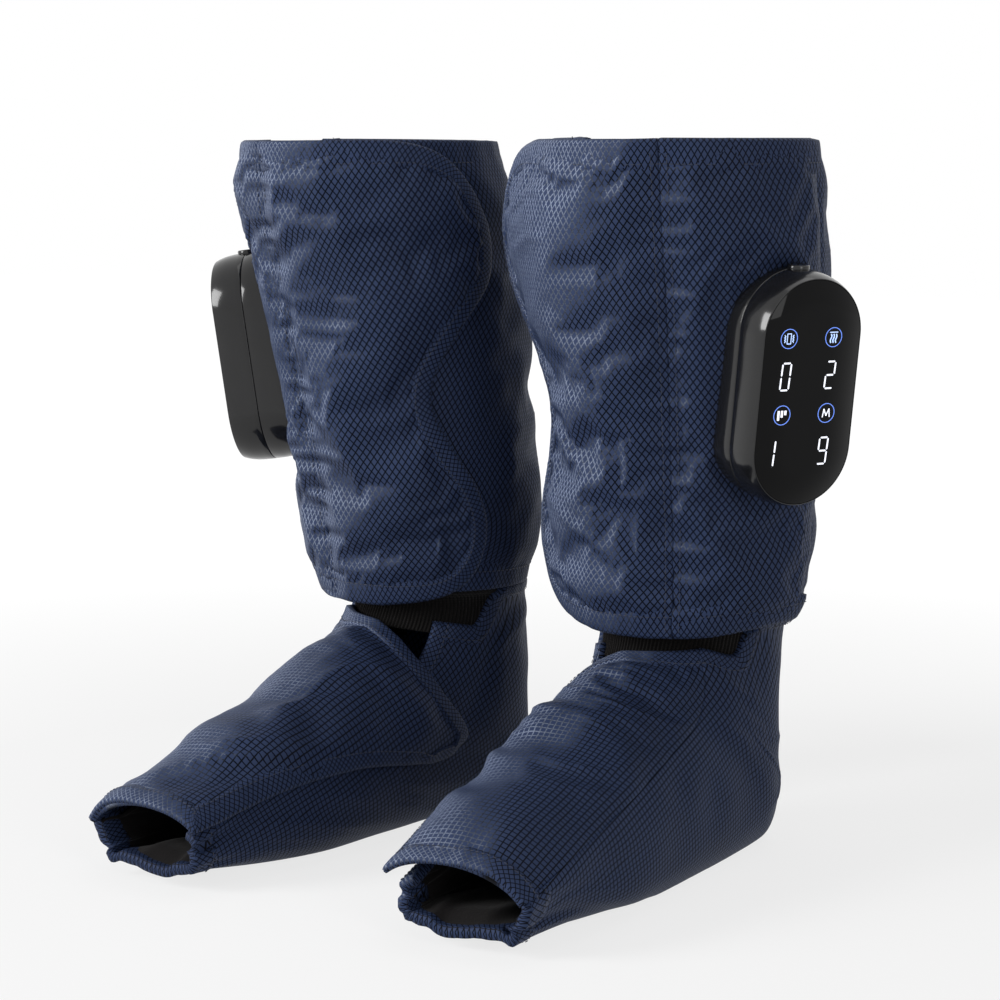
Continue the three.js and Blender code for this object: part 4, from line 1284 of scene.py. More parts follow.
# The closing tapes: loop tape sewn on the cuff and wrap, hook tape on the flaps' inner faces. Pressed together
# they hold a flap closed.
loop_dark = (0.008, 0.008, 0.010)
loop_light = (0.032, 0.032, 0.036)
loop_nap = 0.0012
hook_dark = (0.006, 0.006, 0.008)
hook_light = (0.05, 0.05, 0.055)
hook_nap = 0.0008
pile_ease = 0.002
tape_grid_step, tape_per_row = 2.0, 14
loop_tape = plain_cloth("black_loop_tape", loop_dark, loop_light, 6.0, loop_nap, 0.6)
hook_tape = plain_cloth("black_hook_tape", hook_dark, hook_light, 9.0, hook_nap, 0.1)
calf_patch = ((196, 228), (0.72, 1.8))
foot_patch = ((204, 228), (11, 13))
# each tape's name, its angles and rows, its inner face, its cloth, its body and the piece that it lies on
tapes = (
    ("calf_loop_patch", calf_patch, seat, loop_tape, "boots", "calf_cover"),
    ("calf_hook_patch", calf_patch, hook_bottom, hook_tape, "{}_calf_flap", "calf_flap"),
    ("foot_loop_patch", foot_patch, seat, loop_tape, "boots", "foot_wrap"),
    ("foot_hook_patch", foot_patch, hook_bottom, hook_tape, "{}_foot_flap", "foot_flap"),
)
for side in SIDES:
    for name, ((first, last), (top, bottom)), low, material, body, carrier in tapes:
        degrees, t = leg_grid(first, last, top, bottom, tape_grid_step, tape_per_row)
        u, v = flat_at(leg_flat, degrees, t)
        inset = edge_distance(u, v, ("top", "bottom", "first", "last"))
        pile = patch_thickness * (0.5 + 0.5 * smooth_step(inset, 0, pile_ease))
        tape, face = cloth_layer(
            f"{side}_{name}_tape",
            side,
            degrees,
            t,
            low,
            low + pile,
            weave_map(u, v, 0),
            material,
            on_flap(side) if carrier == "calf_flap" else on_leg,
        )
        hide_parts(f"{side}_{name}")
        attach(tape, body.format(side))

# The bindings: every rim and free edge is bound in the face cloth, a folded tape about 11 mm wide, puckered a
# little by its stitches. Its two limbs lie on the piece's two faces.
tape_width = 0.011
tape_proud = 0.0009
tape_step = 0.0026
pucker_depth = 0.00028
tape_pucker_size, tape_crease_size = 0.007, 0.0032
tape_wander, tape_wander_size = 0.0006, 0.02
tape_measured_off = 0.004
stitch_lift = 0.00015
fewest_points = 4
tape_limb_shares = (1, 0.86, 0.62, 0.36, 0.14, 0.02)
tape_height_shares = (0.1, 0.85, 1, 1, 0.95, 0.6)
edge_stand = 0.0009


def border(degrees, t, parts):
    """A path along a grid's border, part by part, with the grid's next points inward."""
    picks = {
        "top": (degrees[0], t[0], degrees[1], t[1]),
        "bottom": (degrees[-1], t[-1], degrees[-2], t[-2]),
        "first": (degrees[:, 0], t[:, 0], degrees[:, 1], t[:, 1]),
        "last": (degrees[:, -1], t[:, -1], degrees[:, -2], t[:, -2]),
    }
    run = [np.stack(picks[name.strip("-")])[:, :: -1 if name.startswith("-") else 1] for name in parts]
    return np.concatenate([r if k == 0 else r[:, 1:] for k, r in enumerate(run)], axis=1)


def evenly(path, lay, step):
    """The same path with points at even steps over the cloth."""
    p = lay(path[0], path[1], tape_measured_off)
    length = np.concatenate([[0], np.cumsum(np.linalg.norm(np.diff(p, axis=0), axis=-1))])
    wanted = np.linspace(0, length[-1], max(int(length[-1] / step), fewest_points))
    return np.stack([np.interp(wanted, length, row) for row in path]), wanted


def inward(path, lay):
    """For each point of a path, the change of angle and row for a metre inward over the cloth."""
    d, t = path[0], path[1]
    turn, row = 0.25, 0.01
    du = (lay(d + turn, t, 0.0) - lay(d - turn, t, 0.0)) / (2 * turn)
    dv = (lay(d, t + row, 0.0) - lay(d, t - row, 0.0)) / (2 * row)
    reach = 5
    pad = np.pad(path[:2], ((0, 0), (reach, reach)), mode="edge")
    run = pad[:, 2 * reach :] - pad[:, : -2 * reach]
    along = du * run[0][:, None] + dv * run[1][:, None]
    way = np.cross(np.cross(du, dv), along)
    way = way / (np.linalg.norm(way, axis=-1, keepdims=True) + 1e-12)
    toward = path[2:] - path[:2]
    inside = du * toward[0][:, None] + dv * toward[1][:, None]
    way = way * (np.sign(np.median(np.sign((way * inside).sum(-1)))) or 1)
    least = 1.02
    aa, ab, bb = (du * du).sum(-1) * least, (du * dv).sum(-1), (dv * dv).sum(-1) * least
    x, y = (du * way).sum(-1), (dv * way).sum(-1)
    return np.stack([bb * x - ab * y, aa * y - ab * x]) / (aa * bb - ab**2)


def bound_edge(name, side, path, faces, body, lay=on_leg, seed=0):
    """A tape folded over an edge. It returns the line on its outer limb where the stitches run."""
    path, length = evenly(path, lay, tape_step)
    away = inward(path, lay)
    ripple = soft_noise(length, length * 0, tape_pucker_size, seed + 60) * pucker_depth
    ripple = ripple + soft_noise(length, length * 0, tape_crease_size, seed + 61) * pucker_depth * 0.6
    wander = soft_noise(length, length * 0, tape_wander_size, seed + 62) * tape_wander
    limbs = []
    for outer in (True, False):
        shares = tape_limb_shares if outer else tape_limb_shares[::-1]
        heights = tape_height_shares if outer else tape_height_shares[::-1]
        for share, height in zip(shares, heights):
            w = share * (tape_width + wander)
            d, t = path[0] + away[0] * w, path[1] + away[1] * w
            low, high = faces(np.full_like(w, share * tape_width), d, t)
            if outer:
                off = high + height * tape_proud + ripple * (1 - abs(2 * share - 1) * 0.5)
            else:
                off = low - height * tape_proud * 0.5
            limbs.append((w, off))
        if outer:
            low, high = faces(np.zeros_like(length), path[0], path[1])
            limbs.append((0 * length - edge_stand, (low + high) / 2 + ripple))
    rings = []
    for w, off in limbs:
        d, t = path[0] + away[0] * w, path[1] + away[1] * w
        rings.append(placed(lay(d, t, off), side))
    rings = np.stack(rings, axis=1)
    count, around = rings.shape[:2]
    at = np.arange(count * around).reshape(count, around)
    after = np.roll(at, -1, axis=1)
    faces_list = list(zip(at[:-1].ravel(), after[:-1].ravel(), after[1:].ravel(), at[1:].ravel()))
    points = rings.reshape(-1, 3)
    middles = [rings[0].mean(0), rings[-1].mean(0)]
    points = np.concatenate([points, middles])
    for end, centre in ((0, count * around), (-1, count * around + 1)):
        pair = zip(at[end], after[end]) if end == 0 else zip(after[end], at[end])
        faces_list += [(int(b), int(a), centre) for a, b in pair]
    widths = [w.mean() for w, _ in limbs]
    outer_count = len(tape_limb_shares)
    across = np.array([width if k < outer_count else -width for k, width in enumerate(widths)])
    run, over = length[:, None] + 0 * across[None], 0 * length[:, None] + across[None]
    uv = weave_map(run, over, 45, 0.8 * weave_pitch).reshape(-1, 2)
    uv = np.concatenate([uv, uv[:2] * 0])
    # Share of painted highlight on the tape's outer limb, from how far it turns to the light.
    lit = smooth_step(shine_of(rings[:, :outer_count]), shine_from, 1.0)
    lit = np.concatenate([lit, np.zeros((count, around - lit.shape[1]))], axis=1).reshape(-1)
    tape = make_mesh(name, points, faces_list, uv, np.concatenate([lit, [0, 0]]), tape_cloth)
    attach(tape, body)
    w = 0.8 * tape_width
    d, t = path[0] + away[0] * w, path[1] + away[1] * w
    low, high = faces(np.full_like(length, w), d, t)
    return placed(lay(d, t, high + tape_proud + stitch_lift), side)


# The stitches: one short loop of dark thread after another, laid along each seam by Geometry Nodes. They run
# along every binding and down both sides of the calf flap's fold.
thread_dark = (0.006, 0.008, 0.018)
thread_light = (0.03, 0.04, 0.075)
thread_material, nodes = new_material("navy_thread")
twist = nodes.noise(2500.0, 2.0)
thread_shader = nodes.add(
    "ShaderNodeBsdfPrincipled",
    None,
    Base_Color=nodes.blend(twist, thread_dark, thread_light),
    Roughness=nodes.ramp(twist, 0.4, 0.6),
)
finish_material(nodes, thread_shader)


def stitch_tree():
    """Stitches along a line: Spacing from one to the next, Length of each and Thread, its radius."""
    tree = bpy.data.node_groups.new("stitches_along_a_seam", "GeometryNodeTree")
    tree.interface.new_socket("Geometry", in_out="INPUT", socket_type="NodeSocketGeometry")
    for name in ("Spacing", "Length", "Thread"):
        tree.interface.new_socket(name, in_out="INPUT", socket_type="NodeSocketFloat")
    tree.interface.new_socket("Geometry", in_out="OUTPUT", socket_type="NodeSocketGeometry")
    nodes = Nodes(tree)
    start = nodes.add("NodeGroupInput")
    line = nodes.add("GeometryNodeMeshToCurve", None, Mesh=start.outputs["Geometry"])
    points = nodes.add("GeometryNodeResampleCurve", {"mode": "LENGTH"}, Curve=line.outputs[0])
    tree.links.new(start.outputs["Spacing"], points.inputs["Length"])
    tangent = nodes.add("GeometryNodeInputTangent")
    turn = nodes.add("FunctionNodeAlignRotationToVector", {"axis": "Z"}, Vector=tangent.outputs[0])
    bead = nodes.add("GeometryNodeMeshUVSphere", None, Segments=6, Rings=5, Radius=1.0)
    scale = nodes.add("ShaderNodeCombineXYZ", None)
    half = nodes.add("ShaderNodeMath", {"operation": "MULTIPLY"}, in_0=start.outputs["Length"], in_1=0.5)
    thread = start.outputs["Thread"]
    for axis, socket in (("X", thread), ("Y", thread), ("Z", half.outputs[0])):
        tree.links.new(socket, scale.inputs[axis])
    stitches = nodes.add(
        "GeometryNodeInstanceOnPoints",
        None,
        Points=points.outputs[0],
        Instance=bead.outputs["Mesh"],
        Rotation=turn.outputs[0],
        Scale=scale.outputs[0],
    )
    real = nodes.add("GeometryNodeRealizeInstances", None, Geometry=stitches.outputs[0])
    dressed = nodes.add("GeometryNodeSetMaterial", None, Geometry=real.outputs[0], Material=thread_material)
    end = nodes.add("NodeGroupOutput")
    tree.links.new(dressed.outputs[0], end.inputs[0])
    return tree


stitches_along = stitch_tree()
stitch_spacing = 0.0036
stitch_length = 0.0026
thread_radius = 0.00030


def sew(name, lines, body):
    """Stitches along every line, made plain mesh."""
    points = np.concatenate(lines)
    starts = np.cumsum([0] + [len(line) for line in lines])
    edges = [(k, k + 1) for a, b in zip(starts[:-1], starts[1:]) for k in range(a, b - 1)]
    mesh = bpy.data.meshes.new(name + "_line")
    mesh.from_pydata(points.tolist(), edges, [])
    guide = bpy.data.objects.new(name + "_line", mesh)
    bpy.context.scene.collection.objects.link(guide)
    modifier = guide.modifiers.new("stitches", "NODES")
    modifier.node_group = stitches_along
    values = {"Spacing": stitch_spacing, "Length": stitch_length, "Thread": thread_radius}
    for item in stitches_along.interface.items_tree:
        if item.in_out == "INPUT" and item.name in values:
            modifier[item.identifier] = values[item.name]
    guide.update_tag()
    graph = bpy.context.evaluated_depsgraph_get()
    made_mesh = bpy.data.meshes.new_from_object(guide.evaluated_get(graph))
    bpy.data.objects.remove(guide)
    made_mesh.name = name
    made_mesh.polygons.foreach_set("use_smooth", [True] * len(made_mesh.polygons))
    made = bpy.data.objects.new(name, made_mesh)
    bpy.context.scene.collection.objects.link(made)
    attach(made, body)


# Where each tape goes: the cuff's rims, the panel's ends, the flaps round their free edges, the wrap's upper
# and free edges and the toe opening.
foot_degree_metres = 0.0011


def cover_tape_faces(w, degrees, t):
    return -cover_thickness - pulled_in + 0 * w, 0 * w


def wrap_tape_faces(w, degrees, t):
    from_fold = foot_degree_metres * (degrees + 360 - foot_fold(t))
    rise = level_at_fold(w) * (1 - smooth_step(from_fold, 0, near_fold_length))
    return -cover_thickness - pulled_in + 0 * w, rise


def panel_tape_faces(w, degrees, t):
    low, high = padded_faces(w, seat, panel_thickness, panel_swell)
    u, v = flat_at(leg_flat, degrees, t)
    return to_fold(u, low, high, v, 0)


def flap_tape_faces(w, degrees, t):
    low, high = flap_faces(w)
    u, v = flat_at(flap_flat, degrees, t)
    return to_fold(-u, low, high, v, 0)


def foot_flap_tape_faces(w, degrees, t):
    return foot_flap_faces(w, foot_degree_metres * (foot_fold(t) - degrees))


seam_half = 0.0045
degree_metres = 0.00145
seam_rows = np.linspace(0.25, calf_rows - 0.15, 130)
seam_turn = seam_half / degree_metres
seam_thread_lift = 0.0004
panel_seam_rise, flap_seam_rise = 0.0006, 0.0014
cuff_tape_gap, panel_tape_gap, flap_tape_gap, wrap_tape_gap, foot_flap_tape_gap = 0.4, 0.1, 0.1, 0.3, 0.2


def seam_line(side, lay, lengths, degrees, low, high):
    """The line of stitches beside the fold, on a pad between those faces."""
    along = flat_at(lengths, degrees, seam_rows)[1]
    face = to_fold(seam_rows * 0 + seam_half, low, high, along, seeds[side])[1]
    return placed(lay(degrees, seam_rows, face + seam_thread_lift), side)


for side in SIDES:
    seed = seeds[side]
    seams = []
    degrees, t = leg_grid(panel_seam + cuff_tape_gap, cuff_end, 0, calf_rows)
    for part in ("top", "bottom", "last"):
        path = border(degrees, t, (part,))
        name = f"{side}_cuff_{part}_binding"
        seams.append(bound_edge(name, side, path, cover_tape_faces, "boots", seed=seed))
    degrees, t = leg_grid(flap_fold + panel_tape_gap, panel_seam, 0, calf_rows, panel_step, panel_rows)
    for part in ("top", "bottom"):
        path = border(degrees, t, (part,))
        name = f"{side}_panel_{part}_binding"
        seams.append(bound_edge(name, side, path, panel_tape_faces, "boots", on_panel, seed))
    degrees, t = wrap_grid(wrap_tape_gap)
    for part in ("top", "last", "bottom"):
        path = border(degrees, t, (part,))
        name = f"{side}_wrap_{part}_binding"
        seams.append(bound_edge(name, side, path, wrap_tape_faces, "boots", on_toes, seed + 3))
    seam_degrees = seam_rows * 0 + (flap_fold + seam_turn)
    panel_face = panel_thickness + seat + panel_seam_rise
    seams.append(seam_line(side, on_panel, leg_flat, seam_degrees, seat, panel_face))
    sew(f"{side}_boot_stitches", seams, "boots")

    path = border(*flap_grid(side, flap_tape_gap), ("-top", "first", "bottom"))
    name = f"{side}_calf_flap_binding"
    line = bound_edge(name, side, path, flap_tape_faces, f"{side}_calf_flap", on_flap(side), seed + 5)
    seam_degrees = seam_rows * 0 + flap_fold - seam_turn
    flap_face = flap_bottom + flap_thickness + flap_seam_rise
    fold_line = seam_line(side, on_flap(side), flap_flat, seam_degrees, flap_bottom, flap_face)
    sew(f"{side}_calf_flap_stitches", [line, fold_line], f"{side}_calf_flap")

    path = border(*foot_flap_grid(foot_flap_tape_gap), ("-top", "first", "bottom"))
    line = bound_edge(
        f"{side}_foot_flap_binding", side, path, foot_flap_tape_faces, f"{side}_foot_flap", seed=seed + 7
    )
    sew(f"{side}_foot_flap_stitches", [line], f"{side}_foot_flap")

# The pump units: two glossy black shells clamped through the panel, with barrel sides, a thin rim and a black
# glass let into the front. Each is drawn in its own frame: across, up the leg and out from the cuff.
unit_across = Vector((0.44776, 0.89415, 0))
unit_up = Vector((0.12444, -0.06232, 0.99027))
unit_out = Vector((0.88545, -0.4434, -0.13917))
unit_place = Vector((0.186613, 0.047210, 0.300695))
unit_half_width = 0.036
unit_half_length = 0.069
unit_split = 0.012
unit_front = 0.033
glass_rim = 0.0033
outline_points = 128
split_groove = 0.00022
unit_straight = unit_half_length - unit_half_width


def on_unit(points, side):
    """Points in the unit's frame, placed on the left or right boot."""
    axes = np.array([unit_across, unit_up, unit_out])
    p = np.asarray(points, float) @ axes + np.array(unit_place)
    if side == "right":
        p[..., 0] *= -1
    return p


def stadium(inset):
    """The unit's outline, drawn in by an inset: two straight sides and two half-round ends."""
    radius = unit_half_width - inset
    turn = np.linspace(0, math.pi, outline_points // 2)
    top = np.stack([radius * np.cos(turn), unit_straight + radius * np.sin(turn)], -1)
    return np.concatenate([top, -top])


def ring_stack(rings, material, name, hollow=False):
    """A closed skin over rings of points: capped at both ends, or hollow with its ends joined."""
    rings = np.asarray(rings)
    count, around = rings.shape[:2]
    at = np.arange(count * around).reshape(count, around)
    after = np.roll(at, -1, axis=1)
    faces = list(zip(at[:-1].ravel(), after[:-1].ravel(), after[1:].ravel(), at[1:].ravel()))
    points = rings.reshape(-1, 3)
    if hollow:
        faces += list(zip(at[-1], after[-1], after[0], at[0]))
    else:
        points = np.concatenate([points, [rings[0].mean(0), rings[-1].mean(0)]])
        faces += [(int(b), int(a), count * around) for a, b in zip(at[0], after[0])]
        faces += [(int(a), int(b), count * around + 1) for a, b in zip(at[-1], after[-1])]
    return make_mesh(name, points, faces, material=material)


def moulded(name, dark, light, rough_low, rough_high, coat, grain, bump_height, specular=0.5):
    """Moulded plastic: faint swirl in the colour, patchy gloss, and a fine grain."""
    material, nodes = new_material(name)
    swirl = nodes.noise(35.0, 4.0)
    fine = nodes.noise(grain, 2.0)
    shader = nodes.add(
        "ShaderNodeBsdfPrincipled",
        None,
        Base_Color=nodes.blend(swirl, dark, light),
        Roughness=nodes.ramp(swirl, rough_low, rough_high, 0.3, 0.7),
        Coat_Weight=coat,
        Coat_Roughness=0.04,
        Specular_IOR_Level=specular,
        Normal=nodes.add("ShaderNodeBump", None, Strength=0.2, Distance=bump_height, Height=fine).outputs[0],
    )
    finish_material(nodes, shader)
    return material


shell_dark = (0.006, 0.006, 0.0065)
shell_light = (0.011, 0.011, 0.012)
shell_grain = 0.00002
glass_dark = (0.0012, 0.0012, 0.0016)
glass_light = (0.0022, 0.0022, 0.0028)
glass_grain = 0.000004
black_gloss = moulded(
    "gloss_black_shell", shell_dark, shell_light, 0.12, 0.2, 0.25, 260.0, shell_grain, 0.3
)
glass_material = moulded(
    "black_touch_glass", glass_dark, glass_light, 0.03, 0.06, 0.0, 90.0, glass_grain, 0.12
)
front_profile = (
    (0.00025, unit_split + split_groove * 0.2),
    (0.0, unit_split + 0.0004),
    (0.0, 0.016),
    (0.00015, 0.020),
    (0.0005, 0.024),
    (0.0011, 0.0275),
    (0.0018, 0.0300),
    (0.0023, 0.0315),
    (0.00262, 0.0323),
    (0.0028, 0.0328),
    (0.00305, unit_front),
    (glass_rim - 0.00012, unit_front - 0.00006),
    (glass_rim, unit_front - 0.0004),
    (glass_rim, unit_front - 0.0024),
    (glass_rim + 0.003, unit_front - 0.0024),
    (glass_rim + 0.003, unit_split + split_groove * 0.2),
)
skirt_profile = ((0.00025, 1.0), (0.0, 0.97), (0.0, 0.6), (0.0002, 0.3), (0.0009, 0.08), (0.0016, 0.0))
pane_profile = ((0, -0.002), (0, -0.0003), (0.0003, 0), (0.02, 0))
pane_gap = 0.0001
wall = 0.005
side_band = 0.0045
back_reach = 0.0095
spread_points = 9
spread_pad = spread_points - 1


def level_rings(profile):
    """The unit's outline at each inset and height of a profile."""
    rings = []
    for inset, z in profile:
        xy = stadium(inset)
        rings.append(np.column_stack([xy, np.full(len(xy), z)]))
    return rings


for side in SIDES:
    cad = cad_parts[f"{side}_rear_shell"]
    flat = np.array([v.co for v in cad.data.vertices])
    if side == "right":
        flat[:, 0] *= -1
    flat = (flat - np.array(unit_place)) @ np.array([unit_across, unit_up, unit_out]).T
    outline = stadium(0)
    reach = np.hypot(flat[:, 0], np.maximum(np.abs(flat[:, 1]) - unit_straight, 0))
    outer = flat[reach > unit_half_width - side_band]
    back = []
    for x, y in outline:
        near = outer[np.hypot(outer[:, 0] - x, outer[:, 1] - y) < back_reach]
        back.append(near[:, 2].min() if len(near) else np.nan)
    back = np.array(back)
    known = ~np.isnan(back)
    back = np.interp(np.arange(len(back)), np.arange(len(back))[known], back[known])
    spread = np.ones(spread_points) / spread_points
    round_again = np.concatenate([back[-spread_pad:], back, back[:spread_pad]])
    back = np.convolve(round_again, spread, "same")[spread_pad:-spread_pad]
    rings = on_unit(np.array(level_rings(front_profile)), side)
    shell = ring_stack(rings, black_gloss, f"{side}_front_shell_gloss", hollow=True)
    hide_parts(f"{side}_front_shell")
    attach(shell, "boots")
    top = unit_split - split_groove
    rings = [np.column_stack([stadium(inset), back + (top - back) * share]) for inset, share in skirt_profile]
    inner = stadium(wall)
    rings.append(np.column_stack([inner, np.maximum(back, 0.0)]))
    rings.append(np.column_stack([inner, np.full(len(inner), top)]))
    rings = on_unit(np.array(rings), side)
    shell = ring_stack(rings, black_gloss, f"{side}_rear_shell_gloss", hollow=True)
    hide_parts(f"{side}_rear_shell")
    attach(shell, "boots")
    rings = level_rings([(inset + glass_rim + pane_gap, z + unit_front) for inset, z in pane_profile])
    pane = ring_stack(on_unit(np.array(rings), side), glass_material, f"{side}_touch_glass_pane")
    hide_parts(f"{side}_touch_glass")
    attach(pane, "boots")

# The lit display: plain icons in rings and seven-segment digits, upright as the photo shows them. Each mark
# is a thin raised film on the glass.
def lamp(name, color, strength):
    material, nodes = new_material(name)
    flicker = nodes.noise(700.0, 1.0)
    shader = nodes.add(
        "ShaderNodeBsdfPrincipled",
        None,
        Base_Color=nodes.blend(flicker, tuple(0.8 * c for c in color), color),
        Roughness=0.4,
        Emission_Color=color,
        Emission_Strength=strength,
    )
    finish_material(nodes, shader)
    return material


digit_light = lamp("white_segment_light", (0.88, 0.91, 1.0), 0.95)
ring_light = lamp("blue_ring_light", (0.16, 0.30, 0.95), 0.85)
icon_light = lamp("pale_blue_icon_light", (0.50, 0.66, 1.0), 0.9)
mark_lift = 0.00012
column_left, column_right = -0.0165, 0.0142
icon_rows = (0.0322, -0.0122)
digit_rows = (0.0102, -0.0345)
ring_radius = 0.0058
ring_line = 0.00042
segment_half = 0.0005
digit_half_width = 0.0029
digit_half_height = 0.0078
digit_slant = 0.05
segment_gap = 0.0009
# segments as seen: top, upper left, upper right, middle, lower left, lower right, bottom
segments_lit = {"0": "1110111", "2": "1011101", "1": "0100100", "9": "1111011"}


def flat_marks(name, outlines, side, material):
    """Thin closed plates on the glass, one for each flat outline in the unit's frame."""
    points, faces = [], []
    for outline in outlines:
        first, n = len(points), len(outline)
        for z in (unit_front + mark_lift, unit_front - mark_lift):
            points += [(x, y, z) for x, y in outline]
        for k in range(n):
            j = (k + 1) % n
            faces.append((first + k, first + n + k, first + n + j, first + j))
        faces.append(tuple(first + k for k in range(n)))
        faces.append(tuple(first + n + k for k in reversed(range(n))))
    mesh = bpy.data.meshes.new(name)
    placed_points = on_unit(np.array(points), side)
    if side == "right":
        faces = [tuple(reversed(face)) for face in faces]
    mesh.from_pydata(placed_points.tolist(), [], faces)
    mesh.materials.append(material)
    made = bpy.data.objects.new(name, mesh)
    bpy.context.scene.collection.objects.link(made)
    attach(made, "boots")


def stroke(points, width):
    """The outlines of short bars along a line."""
    outlines = []
    for (x0, y0), (x1, y1) in zip(points[:-1], points[1:]):
        dx, dy = x1 - x0, y1 - y0
        length = math.hypot(dx, dy) or 1
        nx, ny = -dy / length * width / 2, dx / length * width / 2
        ex, ey = dx / length * width / 4, dy / length * width / 4
        start = [(x0 - nx - ex, y0 - ny - ey), (x1 - nx + ex, y1 - ny + ey)]
        back = [(x1 + nx + ex, y1 + ny + ey), (x0 + nx - ex, y0 + ny - ey)]
        outlines.append(start + back)
    return outlines


def ring_outlines(x, y):
    """A ring as a row of short four-sided pieces."""
    steps = 40
    outlines = []
    for k in range(steps):
        a, b = 2 * math.pi * k / steps, 2 * math.pi * (k + 1) / steps
        inner, outer = ring_radius - ring_line, ring_radius
        corners = ((inner, a), (outer, a), (outer, b), (inner, b))
        outlines.append([(x + r * math.cos(t), y + r * math.sin(t)) for r, t in corners])
    return outlines


def digit_outlines(digit, x, y):
    w, h, g, d = digit_half_width, digit_half_height, segment_gap, segment_half
    lines = (
        ((-w + g, h), (w - g, h)),
        ((-w, h - g), (-w, g)),
        ((w, h - g), (w, g)),
        ((-w + g, 0), (w - g, 0)),
        ((-w, -g), (-w, -h + g)),
        ((w, -g), (w, -h + g)),
        ((-w + g, -h), (w - g, -h)),
    )
    outlines = []
    for lit, ends in zip(segments_lit[digit], lines):
        if lit == "0":
            continue
        (x0, y0), (x1, y1) = sorted(ends)
        if y0 == y1:
            corners = [(x0 - d, y0), (x0, y0 - d), (x1, y1 - d), (x1 + d, y1), (x1, y1 + d), (x0, y0 + d)]
        else:
            corners = [(x0, y0 - d), (x0 + d, y0), (x1 + d, y1), (x1, y1 + d), (x1 - d, y1), (x0 - d, y0)]
        outlines.append([(x + px + digit_slant * py, y + py) for px, py in corners])
    return outlines


def icon_outlines(kind, x, y):
    u = ring_radius
    if kind == "shake":
        box = [(-0.22, -0.5), (0.22, -0.5), (0.22, 0.5), (-0.22, 0.5), (-0.22, -0.5), (0.22, -0.5)]
        outlines = stroke([(x + u * a, y + u * b) for a, b in box], 0.09 * u)
        for mirror in (-1, 1):
            zigzag = [(mirror * (0.42 if k % 2 else 0.54), 0.36 - 0.12 * k) for k in range(7)]
            outlines += stroke([(x + u * a, y + u * b) for a, b in zigzag], 0.09 * u)
        return outlines
    if kind == "warm":
        outlines = stroke([(x - 0.45 * u, y + 0.5 * u), (x + 0.45 * u, y + 0.5 * u)], 0.1 * u)
        for offset in (-0.3, 0, 0.3):
            wave = [(offset + 0.07 * math.sin(k / 7 * 2 * math.pi), 0.3 - 0.12 * k) for k in range(8)]
            outlines += stroke([(x + u * a, y + u * b) for a, b in wave], 0.13 * u)
        return outlines
    if kind == "bars":
        outlines = []
        for centre, foot in ((-0.42, -0.45), (-0.02, -0.15), (0.38, 0.08)):
            outlines += stroke([(x + u * centre, y + 0.4 * u), (x + u * centre, y + foot * u)], 0.26 * u)
        return outlines
    zigzag = [(-0.42, 0.4), (-0.3, -0.4), (0, 0.25), (0.3, -0.4), (0.42, 0.4)]
    return stroke([(x + u * a, y - u * b) for a, b in zigzag], 0.11 * u)


for side in SIDES:
    rings = []
    for y in icon_rows:
        rings += ring_outlines(column_left, y) + ring_outlines(column_right, y)
    flat_marks(f"{side}_display_rings", rings, side, ring_light)
    icons = icon_outlines("shake", column_left, icon_rows[0])
    icons += icon_outlines("warm", column_right, icon_rows[0])
    flat_marks(f"{side}_display_icons", icons, side, icon_light)
    marks = icon_outlines("bars", column_left, icon_rows[1])
    marks += icon_outlines("mode", column_right, icon_rows[1])
    for digits, y in zip(("02", "19"), digit_rows):
        marks += digit_outlines(digits[0], column_left, y) + digit_outlines(digits[1], column_right, y)
    flat_marks(f"{side}_display_digits", marks, side, digit_light)

# The power button: a low round cap of the same black plastic, with a soft edge, in a hole in the unit's upper
# end. It presses in by 1.2 mm.
button_radius = 0.0065
button_lift = 0.002
button_points = 48
button_profile = (
    (1, -0.005),
    (1, button_lift - 0.0008),
    (0.965, button_lift - 0.0003),
    (0.9, button_lift - 0.00005),
    (0.82, button_lift),
    (0.7, button_lift - 0.0002),
    (0.4, button_lift - 0.00035),
)
for side in SIDES:
    turn = np.linspace(0, 2 * math.pi, button_points, endpoint=False)
    rings = []
    for share, lift in button_profile:
        x, z = button_radius * share * np.cos(turn), unit_split + button_radius * share * np.sin(turn)
        rings.append(np.column_stack([x, np.full(len(turn), unit_half_length + lift), z]))
    button = ring_stack(on_unit(np.array(rings), side), black_gloss, f"{side}_power_button_cap")
    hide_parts(f"{side}_power_button")
    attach(button, f"{side}_power_button")

# The works inside the unit keep their solids. Each gets the finish of what it is made of: blued cell wrap,
# white moulded pump and valve, brushed steel, green board and grey plastic.
works_grain, board_grain, brushed_grain = 0.00004, 0.00005, 0.00003


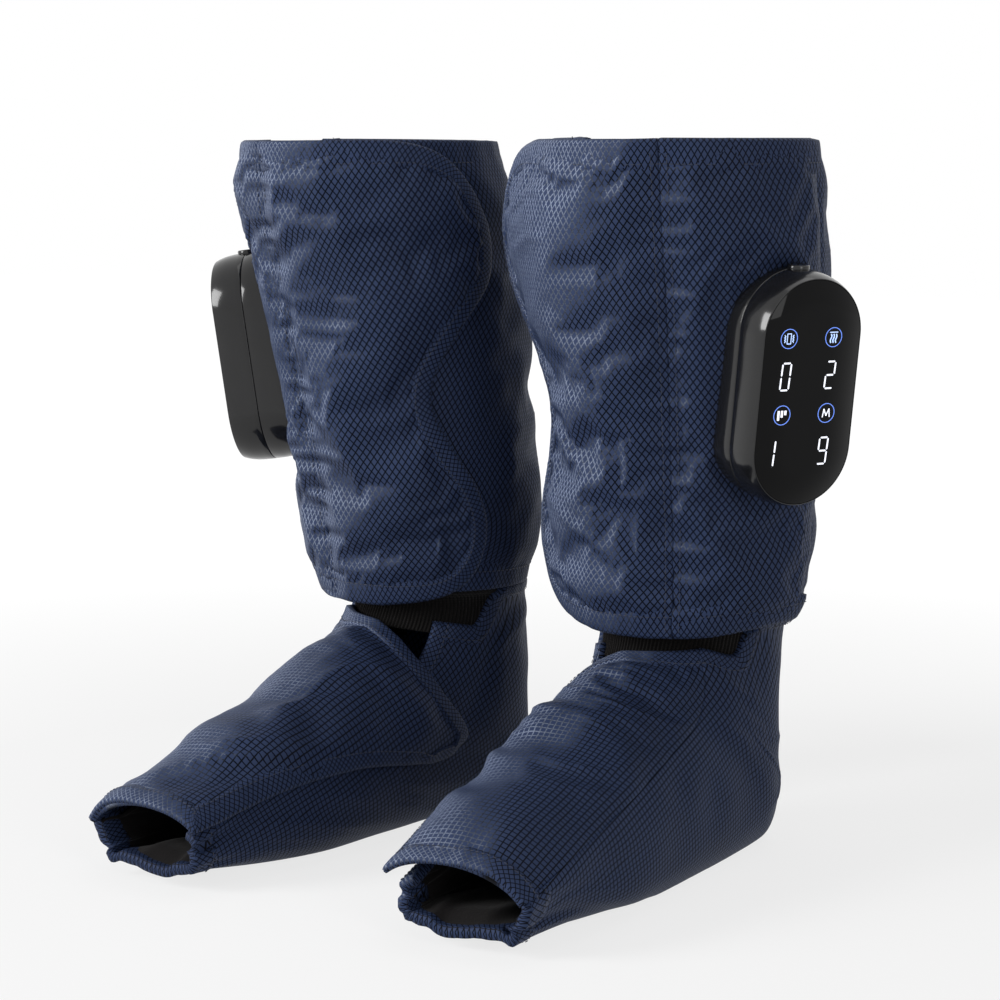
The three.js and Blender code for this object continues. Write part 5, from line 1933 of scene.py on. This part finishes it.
def metal(name, dark, light, rough_low, rough_high):
    material, nodes = new_material(name)
    brushed = nodes.add("ShaderNodeMapping", None)
    brushed.inputs["Scale"].default_value = (1, 12, 1)
    place = nodes.add("ShaderNodeTexCoord")
    nodes.tree.links.new(place.outputs["Object"], brushed.inputs["Vector"])
    grain = nodes.noise(400.0, 3.0, brushed.outputs[0])
    bump = nodes.add("ShaderNodeBump", None, Strength=0.2, Distance=brushed_grain, Height=grain)
    shader = nodes.add(
        "ShaderNodeBsdfPrincipled",
        None,
        Base_Color=nodes.blend(grain, dark, light),
        Metallic=1.0,
        Roughness=nodes.ramp(grain, rough_low, rough_high),
        Normal=bump.outputs[0],
    )
    finish_material(nodes, shader)
    return material


works = {
    "charge_socket": metal("socket_steel", (0.42, 0.43, 0.45), (0.62, 0.63, 0.65), 0.2, 0.35),
    "vibration_motor": metal("motor_can_steel", (0.45, 0.46, 0.48), (0.66, 0.67, 0.69), 0.22, 0.4),
    "vibration_weight": metal("weight_steel", (0.34, 0.35, 0.37), (0.52, 0.53, 0.55), 0.3, 0.5),
    "upper_screw": metal("screw_steel", (0.40, 0.41, 0.43), (0.6, 0.61, 0.63), 0.25, 0.4),
    "battery_pack": moulded(
        "blue_cell_wrap", (0.02, 0.09, 0.30), (0.03, 0.13, 0.38), 0.25, 0.4, 0.3, 300.0, works_grain
    ),
    "air_pump": moulded(
        "white_pump_plastic", (0.58, 0.58, 0.56), (0.68, 0.68, 0.66), 0.35, 0.5, 0.0, 500.0, works_grain
    ),
    "pump_rotor": moulded(
        "grey_rotor_plastic", (0.02, 0.021, 0.023), (0.035, 0.036, 0.039), 0.4, 0.6, 0.0, 500.0, works_grain
    ),
    "main_board": moulded(
        "green_board", (0.008, 0.075, 0.028), (0.014, 0.11, 0.042), 0.35, 0.5, 0.2, 900.0, board_grain
    ),
}
works["lower_screw"] = works["upper_screw"]
works["air_valve"] = works["air_pump"]
works["clamp_plate"] = works["pump_rotor"]
works["display_board"] = works["main_board"]
for side in SIDES:
    for name, material in works.items():
        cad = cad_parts[f"{side}_{name}"]
        cad.data.materials.clear()
        cad.data.materials.append(material)
